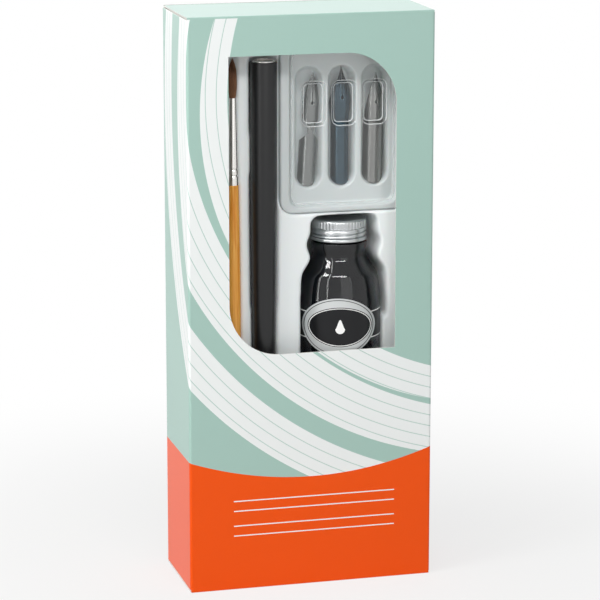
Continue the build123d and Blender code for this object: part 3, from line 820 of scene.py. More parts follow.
# Beech under black lacquer: near black, with a wide dull sheen. Its cut end in the socket is pale brown with
# dark pores, which are drawn coarser than the real 0.05 mm.
BLACK_LACQUER = Finish("black_lacquered_beech", "#0B0C0E", 0.45, ior=1.35, coat=0.4, coat_roughness=0.25)
BARE_BEECH = Drawn("bare_beech_end", "#B98A4E", 0.6, second="#8F6434", streak=0.5, run=0.8)
# Birch under honey-coloured lacquer: golden, with faint long streaks under a narrow line of gloss.
HONEY_LACQUER = Drawn(
    "honey_lacquered_birch",
    "#FBB957",
    0.45,
    ior=1.3,
    coat=0.35,
    coat_roughness=0.08,
    second="#E8932E",
    streak=0.5,
    run=14.0,
)
# Brush hair: brown, with darker streaks that vary the hairs' tone and stand as painted shade for the gaps between the
# hairs. Real hairs are about 0.06 mm thick, so the streaks are coarser.
BROWN_HAIR = Drawn("brown_hair", "#B98560", 0.5, second="#664330", streak=0.16, run=5.0)
# Soda-lime glass: clear, with sharp reflections of the lamps. The ink makes it a black mirror.
FLINT_GLASS = Clear("soda_lime_glass", "#F4F8F8", 0.015, ior=1.5, transmission=1.0)
# Black ink: it wets the glass, so it has no reflection of its own, hence the index of 1.
BLACK_INK = Finish("black_ink", "#0A0C10", 0.5, ior=1.0)
# Rolled aluminium of the cap: pale grey with a satin streak, as its rolling marks scatter the light.
ALUMINIUM = Finish("rolled_aluminium", "#BDC0C1", 0.24, metallic=1.0)
# Printed label paper: the silver has a faint metal shine, the black is satin, the lines and the white are dull.
LABEL_SILVER = Finish("label_silver_print", "#CBCECE", 0.35, metallic=0.25)
LABEL_BLACK = Finish("label_black_print", "#101114", 0.3, ior=1.35)
LABEL_LINE = Finish("label_dark_line", "#4A4C4D", 0.4)
LABEL_WHITE = Finish("label_white_print", "#F2F2F0", 0.4)
# Foam of the cap's liner: off-white and matt.
FOAM = Finish("foam_liner", "#E6E6E0", 0.8)


class FinishBook:
    """Makes each finish once, when it is first asked for."""

    def __init__(self) -> None:
        """Starts empty."""
        self.made: dict[str, bpy.types.Material] = {}

    def get(self, finish: Finish) -> bpy.types.Material:
        """Returns the material of a finish, made now or earlier.

        Args:
            finish: Finish that is asked for.

        Returns:
            Its material.
        """
        if finish.name not in self.made:
            self.made[finish.name] = finish.make()
        return self.made[finish.name]

    def paint(self, node: str, finish: Finish) -> None:
        """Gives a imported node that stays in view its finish.

        Args:
            node: Name of the node.
            finish: Finish for the whole node.
        """
        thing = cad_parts[node]
        thing.data.materials.clear()
        thing.data.materials.append(self.get(finish))


# Carton


@dataclass
class Carton:
    """Folded carton: its packed panels with their print, and a strip over each end's crease.

    crease is the outer radius of the bend, overlap how far its strip lies on both panels, and proud how far
    it stands off them. blend_ends is not used. All are in millimetres.
    """

    book: FinishBook
    crease: float = 0.26
    overlap: float = 0.35
    proud: float = 0.01
    blend_ends: tuple[tuple[float, float], tuple[float, float]] = ((0.05, -0.3), (0.6, 0.25))
    walls: tuple[str, ...] = ("front_panel", "back_panel", "left_panel", "right_panel")
    ends: tuple[str, ...] = ("top_panel", "bottom_panel")
    tongues: tuple[str, ...] = ("top_tuck_tongue", "bottom_tuck_tongue")

    def build(self) -> None:
        """Dresses the panels and adds the creases."""
        for node in self.walls:
            self.book.paint(node, WALL_BOARD)
        for node in self.ends:
            self.book.paint(node, END_BOARD)
        for node in self.tongues:
            self.book.paint(node, PLAIN_PRINT)
        for end in ("top", "bottom"):
            for side in ("left", "right"):
                self.book.paint(f"{end}_dust_flap_{side}", BARE_BOARD)
        self.book.paint("glue_flap", BARE_BOARD)
        self.crease_strip("top_crease", "top_panel", 1.0)
        self.crease_strip("bottom_crease", "bottom_panel", -1.0)

    def crease_strip(self, name: str, panel: str, up: float) -> None:
        """Outer skin of the board where it bends from the front panel over to an end panel.

        Its profile runs up the front face, round a quarter circle and back over the end panel.

        Args:
            name: Name of the strip.
            panel: Node of the end panel.
            up: 1 at the carton's top and -1 at its bottom.
        """
        front = Seat.of("front_panel")
        end = Seat.of(panel)
        half = end.size[0] / 2
        edge = front.high[2] if up > 0 else front.low[2]
        r = self.crease
        angle = np.linspace(0, np.pi / 2, 8)
        deep = np.concatenate([[0.0], r - r * np.cos(angle), [end.low[1] - front.low[1] + self.overlap]])
        rise = np.concatenate([[-r - self.overlap], r * np.sin(angle) - r, [0.0]])
        y = front.low[1] - self.proud + deep
        z = edge + up * (rise + self.proud)
        x = np.linspace(-half, half, 3)
        grid = np.stack(np.broadcast_arrays(x[None, :], y[:, None], z[:, None]), -1)
        strip = Surfaces().add(grid, flip=up < 0)
        finish = PLAIN_PRINT if up > 0 else BASE_PRINT
        thing = strip.piece(name, [self.book.get(finish)], None, slot="printed_board", outward=False)
        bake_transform(thing)


# Moulded sheets


class Relief:
    """Depth of a moulded sheet behind its front plane, on a fine raster."""

    def __init__(self, half: tuple[float, float], step: float) -> None:
        """Lays out the raster round the sheet's middle.

        Args:
            half: Half the width and half the height, millimetres.
            step: Size of a cell, millimetres.
        """
        self.x = np.arange(-half[0], half[0] + step / 2, step)
        self.z = np.arange(-half[1], half[1] + step / 2, step)
        self.step = step
        self.across, self.up = np.meshgrid(self.x, self.z)
        self.depth = np.zeros_like(self.across)

    def sink(self, depth: np.ndarray) -> None:
        """Keeps the deeper of the sheet and a given depth."""
        self.depth = np.maximum(self.depth, depth)

    def soften(self, reach: float) -> None:
        """Rounds all edges, as a heated sheet does, by a mean with weights exp(-(distance / reach)^2 / 2).

        Args:
            reach: Standard deviation of the mean, millimetres.
        """
        taps = np.arange(-int(3 * reach / self.step), int(3 * reach / self.step) + 1)
        weights = np.exp(-0.5 * (taps * self.step / reach) ** 2)
        weights /= weights.sum()
        for axis in (0, 1):
            pad = [(0, 0), (0, 0)]
            pad[axis] = (len(taps) // 2, len(taps) // 2)
            padded = np.pad(self.depth, pad, mode="edge")
            size = self.depth.shape[axis]
            self.depth = sum(
                weight * np.take(padded, np.arange(size) + i, axis=axis) for i, weight in enumerate(weights)
            )

    def lines(self, axis: int, count: int, crowding: float) -> np.ndarray:
        """Places of grid lines that crowd where the sheet is steep.

        Between two lines lies an equal part of the sum of 1 plus crowding times the mean slope.

        Args:
            axis: 0 for lines across, 1 for lines up.
            count: Number of lines.
            crowding: Weight of the slope.

        Returns:
            The lines' places.
        """
        places = self.z if axis == 0 else self.x
        slope = np.abs(np.gradient(self.depth, self.step, axis=axis)).mean(axis=1 - axis)
        weight = 1 + crowding * slope
        total = np.concatenate([[0], np.cumsum((weight[1:] + weight[:-1]) / 2)])
        return np.interp(np.linspace(0, total[-1], count), total, places)

    def at(self, x: np.ndarray, z: np.ndarray) -> np.ndarray:
        """Depth at any points, read linearly between the raster's cells.

        Args:
            x: Places across.
            z: Places up.

        Returns:
            Depth at each place.
        """
        inside = 1.001  # Keeps a place on the last line within the last cell.
        column = np.clip((x - self.x[0]) / self.step, 0, len(self.x) - inside)
        row = np.clip((z - self.z[0]) / self.step, 0, len(self.z) - inside)
        i, j = row.astype(int), column.astype(int)
        v, u = row - i, column - j
        d = self.depth
        low = d[i, j] * (1 - u) + d[i, j + 1] * u
        high = d[i + 1, j] * (1 - u) + d[i + 1, j + 1] * u
        return low * (1 - v) + high * v


@dataclass
class MouldedSheet:
    """Thermoformed sheet with a rounded outline, a lip and a skirt round its relief.

    corner is the radius of the outline's corners, sheet the wall's thickness, lip the rounding of the outer
    edge, step the size of a raster cell and softness the reach of the rounding by heat, all in millimetres.
    lip_steps are the places of the grid lines in the lip, as shares of it.
    """

    seat: Seat
    corner: float
    sheet: float
    lip: float = 0.5
    lip_steps: tuple[float, ...] = (0.0, 0.04, 0.15, 0.35, 0.65, 1.0)
    step: float = 0.2
    softness: float = 0.35
    columns: int = 150
    rows: int = 200
    crowding: float = 2.0

    @property
    def half(self) -> tuple[float, float]:
        """Half the width and half the height."""
        return self.seat.size[0] / 2, self.seat.size[2] / 2

    def build(self, name: str, node: str, finish: bpy.types.Material) -> None:
        """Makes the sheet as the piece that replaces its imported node.

        Args:
            name: Name of the piece.
            node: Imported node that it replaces.
            finish: Material of the sheet.
        """
        surfaces = Surfaces().add(self.grid())
        surfaces.piece(name, [finish], Body.BOX, (node,), thickness=self.sheet, outward=False, sharp=80)

    def relief(self) -> Relief:
        """Depth of the sheet, without its outer edge."""
        raise NotImplementedError

    def skirt(self, z: np.ndarray) -> np.ndarray:
        """Depth to which the skirt reaches at each height."""
        return np.full_like(z, self.seat.size[1])

    def grid(self) -> np.ndarray:
        """Points of the sheet's front.

        Each ring of the straight grid, at an equal distance inside the outline, is bent onto the outline's
        offset curve there, so the corners are round and the distance to the edge stays true. The lip is a
        quarter circle: lip less the root of lip squared less the square of lip less the inset.

        Returns:
            Grid of points, in rows from the lower edge to the upper one.
        """
        relief = self.relief()
        insets = np.array(self.lip_steps) * self.lip
        x_lines = self.with_edges(relief.lines(1, self.columns, self.crowding), self.half[0], insets)
        z_lines = self.with_edges(relief.lines(0, self.rows, self.crowding), self.half[1], insets)
        x, z = np.meshgrid(x_lines, z_lines)
        inset = np.maximum(np.minimum(self.half[0] - np.abs(x), self.half[1] - np.abs(z)), 0)
        radius = np.maximum(self.corner - inset, 0)
        qx = np.abs(x) - (self.half[0] - self.corner)
        qz = np.abs(z) - (self.half[1] - self.corner)
        bent = (qx > 0) & (qz > 0) & (radius > 0)
        reach = np.hypot(qx, qz)
        scale = np.where(bent & (reach > 0), radius / np.where(reach > 0, reach, 1), 1)
        x = np.where(bent, np.sign(x) * (self.half[0] - self.corner + qx * scale), x)
        z = np.where(bent, np.sign(z) * (self.half[1] - self.corner + qz * scale), z)
        fall = np.maximum(self.lip - inset, 0)
        edge = self.lip - np.sqrt(np.maximum(self.lip**2 - fall**2, 0))
        depth = np.maximum(relief.at(x, z), edge)
        border = np.zeros_like(depth, bool)
        border[[0, -1], :] = True
        border[:, [0, -1]] = True
        depth = np.where(border, self.skirt(z), depth)
        return np.stack([x + self.seat.middle[0], self.seat.low[1] + depth, z + self.seat.middle[2]], -1)

    @staticmethod
    def with_edges(lines: np.ndarray, half: float, insets: np.ndarray) -> np.ndarray:
        """Adds lines along both edges for the lip, and one more at each edge for the skirt.

        Args:
            lines: Places of the grid lines.
            half: Half the sheet's width or height.
            insets: Distances of the lip's lines from the edge.

        Returns:
            Places of all lines.
        """
        clear = 1.05  # Inner lines keep a little off the lip's last one.
        inner = lines[np.abs(lines) < half - insets[-1] * clear]
        low, high = -half + insets, half - insets[::-1]
        return np.concatenate([[-half], low, inner, high, [half]])


@dataclass
class MainTray(MouldedSheet):
    """Tray that fills the carton: channels for pen and brush, a well for the nib tray and the bottle's pocket.

    Depths and places follow the pieces that lie in the tray. A name in _room is the play round a piece, and
    well_gap is less than 0 because the nib tray's rim covers the well's edge. pen_pinches counts the places
    where the walls grip the holder: pinch_depth closer, over pinch_length, with slopes of pinch_slope. Rises
    and heights are from the tray's ends or the bottle's foot. All are in millimetres.
    """

    face: float = 7.3
    rim: float = 3.0
    rim_corner: float = 4.0
    well_gap: float = -0.25
    well_corner: float = 4.4
    end_gap: float = 0.6
    channel_room: float = 0.32
    ring_room: float = 0.5
    pen_pinches: int = 3
    pinch_depth: float = 0.3
    pinch_length: float = 11.0
    pinch_slope: float = 1.4
    pinch_pitch: float = 55.0
    pinch_from_top: float = 28.4
    belly_room: float = 0.15
    belly_drop: float = 44.0
    ferrule_radius: float = 2.05
    hair_radius: float = 1.6
    bottle_room: float = 0.25
    cap_room: float = 1.25
    cap_rim_room: float = 1.1
    grip_height: float = 14.6
    cap_band_height: float = 41.6
    shoulder_radius: float = 13.1
    pocket_corner: float = 2.5
    notch_height: float = 12.25
    notch_depth: float = 5.7

    def local(self, seat: Seat) -> tuple[float, float, float, float]:
        """Place of another piece in the sheet's own plane.

        Args:
            seat: Seat of the piece.

        Returns:
            Its middle across, its lower and upper end, and the depth of its axis.
        """
        x = seat.middle[0] - self.seat.middle[0]
        low, high = seat.low[2] - self.seat.middle[2], seat.high[2] - self.seat.middle[2]
        return x, low, high, seat.middle[1] - self.seat.low[1]

    def channel(self, relief: Relief, x: float, axis: float, radius: np.ndarray, inside: np.ndarray) -> None:
        """Sinks a round-bottomed channel: the axis depth plus the root of radius squared less across squared.

        Args:
            relief: Relief to sink it in.
            x: Middle of the channel.
            axis: Depth of the axis of what lies in it.
            radius: Radius at each place.
            inside: True at the heights where the channel runs.
        """
        across = np.abs(relief.across - x)
        hollow = axis + np.sqrt(np.maximum(radius**2 - across**2, 0))
        relief.sink(np.where(inside & (across < radius), hollow, 0))

    def relief(self) -> Relief:
        """Depth of the tub, the channels, the well and the pocket.

        Returns:
            The relief, softened.
        """
        relief = Relief(self.half, self.step)
        tub = (self.half[0] - self.rim, self.half[1] - self.rim)
        relief.sink(np.where(rounded_box(relief.across, relief.up, tub, self.rim_corner) < 0, self.face, 0))
        for sink in (self.sink_well, self.sink_pen, self.sink_brush, self.sink_bottle):
            sink(relief)
        relief.soften(self.softness)
        return relief

    def sink_well(self, relief: Relief) -> None:
        """Sinks the well of the nib tray.

        Args:
            relief: Relief to sink it in.
        """
        seat = Seat.of("nib_tray")
        x, low, high, _ = self.local(seat)
        half = (seat.size[0] / 2 + self.well_gap, seat.size[2] / 2 + self.well_gap)
        inside = rounded_box(relief.across - x, relief.up - (low + high) / 2, half, self.well_corner) < 0
        relief.sink(np.where(inside, self.face + seat.size[1], 0))

    def sink_pen(self, relief: Relief) -> None:
        """Sinks the channel of the pen holder, narrow where it grips.

        Args:
            relief: Relief to sink it in.
        """
        x, low, high, axis = self.local(Seat.of("holder_body"))
        tail, head = PenHolder.tail_radius, PenHolder.head_radius
        radius = flow([low, high - PenHolder.head, high], [tail, head, head], relief.up)
        room = np.full_like(radius, self.channel_room)
        for number in range(self.pen_pinches):
            middle = high - self.pinch_from_top - number * self.pinch_pitch
            beyond = np.abs(relief.up - middle) - self.pinch_length / 2
            room = room - self.pinch_depth * (1 - eased(beyond / self.pinch_slope))
        inside = (relief.up > low - self.end_gap) & (relief.up < high + self.ring_room + self.end_gap)
        self.channel(relief, x, axis, radius + room, inside)

    def sink_brush(self, relief: Relief) -> None:
        """Sinks the channel of the brush, as wide as its hair, its ferrule's tail and its handle's belly.

        Args:
            relief: Relief to sink it in.
        """
        handle, ferrule, hair = (Seat.of(f"brush_{part}") for part in ("handle", "ferrule", "hair"))
        x, low, _, axis = self.local(handle)
        _, tail, root, _ = self.local(ferrule)
        tip = self.local(hair)[2]
        belly = handle.size[0] / 2 + self.belly_room
        places = [low, tail - self.belly_drop, tail, root, tip]
        sizes = [belly, belly, self.ferrule_radius, self.hair_radius, self.hair_radius]
        inside = (relief.up > low - self.end_gap) & (relief.up < tip + self.end_gap)
        self.channel(relief, x, axis, flow(places, sizes, relief.up), inside)

    def sink_bottle(self, relief: Relief) -> None:
        """Sinks the bottle's pocket: a lip over its foot at the right, open above, with a round-cornered top.

        Args:
            relief: Relief to sink it in.
        """
        glass, cap = Seat.of("bottle_glass"), Seat.of("bottle_cap")
        x, low, _, axis = self.local(glass)
        top = self.local(cap)[2] + self.cap_room
        snug = glass.size[0] / 2 + self.bottle_room
        foot = (relief.up > low - self.bottle_room) & (relief.up <= low + self.grip_height)
        across = relief.across - x
        hollow = axis + np.sqrt(np.maximum(snug**2 - across**2, 0))
        lip = math.sqrt(snug**2 - (axis - self.face) ** 2)
        relief.sink(np.where(foot & (across > -snug) & (across < lip), hollow, 0))
        neck = cap.size[0] / 2 + self.cap_room
        rises = (self.grip_height, InkBottle.body_top, InkBottle.shoulder[1], InkBottle.waist[1], InkBottle.collar[2])
        places = [*(low + rise for rise in (*rises, self.cap_band_height)), top]
        sizes = [snug, snug, self.shoulder_radius, neck, neck + self.cap_rim_room, neck, neck]
        near_top = np.clip(relief.up - (top - self.pocket_corner), 0, self.pocket_corner)
        rounding = self.pocket_corner - np.sqrt(self.pocket_corner**2 - near_top**2)
        inside = (relief.up > low + self.grip_height) & (relief.up < top)
        self.channel(relief, x, axis, flow(places, sizes, relief.up) - rounding, inside)

    def skirt(self, z: np.ndarray) -> np.ndarray:
        """Skirt to the back, cut back near both ends for the tuck tongues.

        Args:
            z: Heights round the sheet's edge.

        Returns:
            Depth of the skirt at each height.
        """
        full = self.seat.size[1]
        near_end = self.half[1] - np.abs(z) < self.notch_height
        return np.where(near_end, full - self.notch_depth, full)


@dataclass
class NibTray(MouldedSheet):
    """Small tray with a shallow recess and three round-ended pockets for the nibs.

    A name in _draft is the width of a sloping wall, and pocket_rim the recess's floor that each pocket
    carries round it, in millimetres.
    """

    recess: tuple[float, float] = (33.7, 48.3)
    recess_corner: float = 2.8
    recess_depth: float = 2.2
    recess_draft: float = 0.5
    pocket: tuple[float, float] = (8.3, 37.6)
    pocket_depth: float = 6.35
    pocket_draft: float = 0.7
    pocket_rim: float = 0.35
    pitch: float = 10.65

    def relief(self) -> Relief:
        """Depth of the recess and the pockets.

        Returns:
            The relief, softened.
        """
        relief = Relief(self.half, self.step)
        half = (self.recess[0] / 2, self.recess[1] / 2)
        wall = rounded_box(relief.across, relief.up, half, self.recess_corner)
        relief.sink(self.recess_depth * eased(0.5 - wall / self.recess_draft))
        half = (self.pocket[0] / 2, self.pocket[1] / 2)
        round_end = half[0] - 0.01
        for column in (-1, 0, 1):
            wall = rounded_box(relief.across - column * self.pitch, relief.up, half, round_end)
            relief.sink(np.where(wall < self.pocket_rim, self.recess_depth, 0))
            below = (self.pocket_depth - self.recess_depth) * eased(-wall / self.pocket_draft)
            relief.sink(np.where(wall < 0, self.recess_depth + below, 0))
        relief.soften(self.softness)
        return relief


@dataclass
class NibCover(MouldedSheet):
    """Clear cover whose three cups reach down over the nibs' shoulders.

    draft is the width of a cup's sloping wall and floor_gap what its floor keeps off the nib tray's depth.
    """

    cup: tuple[float, float] = (7.8, 13.9)
    cup_corner: float = 2.3
    cup_pitch: float = 9.65
    cup_shift: float = 0.25
    cup_rise: float = 7.5
    draft: float = 0.9
    floor_gap: float = 0.35

    def relief(self) -> Relief:
        """Depth of the three drafted cups.

        Returns:
            The relief, softened.
        """
        relief = Relief(self.half, self.step)
        depth = self.seat.size[1] - self.floor_gap
        half = (self.cup[0] / 2, self.cup[1] / 2)
        for column in (-1, 0, 1):
            x = relief.across - self.cup_shift - column * self.cup_pitch
            wall = rounded_box(x, relief.up - self.cup_rise, half, self.cup_corner)
            relief.sink(depth * np.clip(-wall / self.draft, 0, 1))
        relief.soften(self.softness)
        return relief


# Nibs


@dataclass
class Nib:
    """Pressed nib: an arched shell cut to an outline, slit from its tip to its breather hole.

    stations are (share of the length from the tip, half width). radius is the arch's radius at the shank and
    belly where the nib is widest, arch_shares the shares of the length where the arch changes. The outline
    turns down below the arch's axis where it reaches fold_from of the radius, over fold_over of it. lean is
    in degrees, and the other sizes are in millimetres.
    """

    node: str
    finish: Finish
    radius: float
    belly: float
    lean: float
    stations: tuple[tuple[float, float], ...]
    slit: float = 0.08
    hole: float = 0.45
    hole_share: float = 0.27
    heel_rise: float = 1.9
    below_axis: float = 0.5
    sheet: float = 0.3
    arch_shares: tuple[float, float, float, float] = (0.0, 0.3, 0.5, 1.0)
    fold_from: float = 0.97
    fold_over: float = 0.08
    tip_share: float = 0.06
    tip_rows: int = 16
    rows: int = 180
    columns: int = 22

    def build(self, book: FinishBook, middle_x: float, length: float) -> None:
        """Makes the nib.

        The two halves are one grid each: the row is the distance from the tip, and the column goes round
        the arch from the slit's or the hole's edge to the outline's edge: (r sin a, -r cos a, -distance),
        with a from arcsin(gap / r) to arcsin(half width / r). The heel closes in by a half ellipse.

        Args:
            book: Finishes.
            middle_x: Place across of the heel's middle.
            length: Distance from the tip to the heel.
        """
        seat = Seat.of(self.node)
        tip_shares = np.linspace(0, self.tip_share, self.tip_rows)[:-1]
        share = np.concatenate([tip_shares, np.linspace(self.tip_share, 1, self.rows)])
        down = share * length
        places, widths = zip(*((0.0, 0.0), *self.stations))
        half_width = flow(list(places), list(widths), np.minimum(share, places[-1]))
        into_heel = np.clip((down - length + self.heel_rise) / self.heel_rise, 0, 1)
        half_width = half_width * np.sqrt(1 - into_heel**2)
        radii = [self.radius / 2, self.belly, self.radius, self.radius]
        arch = flow(list(self.arch_shares), radii, share)
        full = np.clip((half_width / arch - self.fold_from) / self.fold_over, 0, 1)
        edge = np.arcsin(np.clip(half_width / arch, 0, 1)) + full * np.arcsin(self.below_axis / arch)
        to_hole = down - self.hole_share * length
        bore = np.sqrt(np.maximum(self.hole**2 - to_hole**2, 0))
        gap = np.where(to_hole < 0, np.maximum(bore, self.slit), bore)
        start = np.minimum(np.arcsin(np.clip(gap / arch, 0, 1)), edge)
        across = np.linspace(0, 1, self.columns)[None, :]
        angle = start[:, None] + (edge - start)[:, None] * across
        r = arch[:, None]
        x, y, z = r * np.sin(angle), -r * np.cos(angle), np.broadcast_to(-down[:, None], angle.shape)
        turn = math.radians(self.lean)
        shell = Surfaces()
        axis_y = seat.high[1] - self.below_axis
        for side in (1, -1):
            lean_x = side * x * math.cos(turn) + (z + length) * math.sin(turn)
            lean_z = -side * x * math.sin(turn) + (z + length) * math.cos(turn)
            grid = np.stack([middle_x + lean_x, axis_y + y, seat.low[2] + lean_z], -1)
            shell.add(grid, flip=side > 0)
        finishes = [book.get(self.finish)]
        shell.piece(f"{self.node}_shell", finishes, Body.BOX, (self.node,), thickness=self.sheet, outward=False)


@dataclass
class NibRow:
    """The nib tray with its nibs under the clear cover."""

    book: FinishBook
    lengths: tuple[float, float, float] = (35.5, 37.4, 34.9)
    shifts: tuple[float, float, float] = (-0.1, 0.2, 0.0)

    def nibs(self) -> tuple[Nib, Nib, Nib]:
        """The three nibs from left to right.

        Returns:
            A nib with a narrow waist over its shank, a broad one with a bulge, and a slim one.
        """
        shoulder, shank = 2.6, 2.75
        waist = ((0.06, 0.3 * shoulder), (0.13, 0.66 * shoulder), (0.30, 0.96 * shoulder), (0.41, shoulder))
        waist = (*waist, (0.475, 1.15), (0.53, 1.0), (0.575, 0.8 * shank), (0.61, 1.05 * shank))
        waisted = Nib("waisted_nib", NIB_STEEL, shank, shank, 3.3, waist)
        broad, base = 3.4, 2.85
        bulge = ((0.05, 0.4), (0.115, 1.2), (0.168, 0.74 * broad), (0.23, 0.9 * broad), (0.32, broad))
        bulge = (*bulge, (0.41, 0.96 * broad), (0.52, 1.03 * base), (0.58, 1.05 * base))
        bulged = Nib("broad_nib", BLUED_STEEL, base, broad, 0.0, bulge)
        slim = 3.15
        taper = ((0.05, 0.5), (0.09, 0.95), (0.18, 0.62 * slim), (0.28, 0.85 * slim), (0.40, slim), (0.5, 1.05 * slim))
        slender = Nib("slim_nib", SLIM_STEEL, slim, slim, 1.1, taper)
        return waisted, bulged, slender

    def build(self) -> None:
        """Makes the tray, the nibs and the cover."""
        tray = NibTray(Seat.of("nib_tray"), corner=4.2, sheet=0.5, columns=170, rows=190)
        # The nib tray's sheet carries painted shade in its greyer colour.
        tray.build("nib_tray_sheet", "nib_tray", self.book.get(NIB_TRAY_PAINTED_SHADE_SHEET))
        for column, (nib, length, shift) in enumerate(zip(self.nibs(), self.lengths, self.shifts)):
            x = tray.seat.middle[0] + (column - 1) * tray.pitch + shift
            nib.build(self.book, x, length)
        cover = NibCover(
            Seat.of("nib_cover"),
            corner=2.6,
            sheet=0.25,
            lip=0.4,
            step=0.1,
            softness=0.12,
            columns=190,
            rows=170,
            crowding=4.0,
        )
        cover.build("nib_cover_film", "nib_cover", self.book.get(CLEAR_SHEET))


# Turned pieces


@dataclass
class PenHolder:
    """Black lacquered holder with its ring and the socket in its end.

    A name in _round is the rounding of a corner, bevel the edge between the lacquer and the socket, and
    lip_height the height of the ring's lip over the end, all in millimetres.
    """

    book: FinishBook
    head: float = 38.0
    head_radius: float = 4.15
    tail_radius: float = 2.9
    tail_round: float = 1.8
    swell_round: float = 12.0
    end_round: float = 0.9
    socket: float = 3.4
    socket_depth: float = 15.0
    bevel: float = 0.2
    ring_wall: float = 0.3
    lip_height: float = 0.25

    def build(self) -> None:
        """Makes the body and the ring, and dresses the clip."""
        seat = Seat.of("holder_body")
        x, y = seat.middle[:2]
        low, top = seat.low[2], seat.high[2]
        edge, floor = self.socket + self.bevel, top - self.socket_depth
        outside = [
            (0.0, low, 0),
            (self.tail_radius, low, self.tail_round),
            (self.head_radius, top - self.head, self.swell_round),
            (self.head_radius, top, self.end_round),
            (edge, top, 0.1),
        ]
        inside = [(edge, top, 0), (self.socket, top, 0.05), (self.socket, floor, 0.2), (0.0, floor, 0)]
        body = Surfaces().add(turned(soft_corners(outside, 10), x, y), closed=True)
        body.add(turned(soft_corners(inside), x, y), closed=True, finish=1)
        finishes = [self.book.get(BLACK_LACQUER), self.book.get(BARE_BEECH)]
        body.piece("holder_lacquered_body", finishes, Body.BOX, ("holder_body",))
        self.build_ring(x, y, top)
        self.book.paint("holder_clip", NIB_STEEL)

    def build_ring(self, x: float, y: float, top: float) -> None:
        """Makes the plated sleeve with its small lip.

        Args:
            x: Place of the axis along X.
            y: Place of the axis along Y.
            top: Height of the body's end.
        """
        seat = Seat.of("holder_ring")
        low, high = seat.low[2], seat.high[2]
        bore, lip, sleeve = self.socket - self.ring_wall, seat.size[0] / 2, self.socket - 0.01
        ring = [
            (bore, low, 0),
            (sleeve, low, 0.05),
            (sleeve, top, 0.02),
            (lip, top, 0.05),
            (lip, top + self.lip_height, 0.2),
            (self.socket, high, 0.15),
            (bore, high, 0.1),
            (bore, low, 0),
        ]
        Surfaces().add(turned(soft_corners(ring), x, y), closed=True).piece(
            "holder_ring_sleeve", [self.book.get(NICKEL)], Body.BOX, ("holder_ring",)
        )


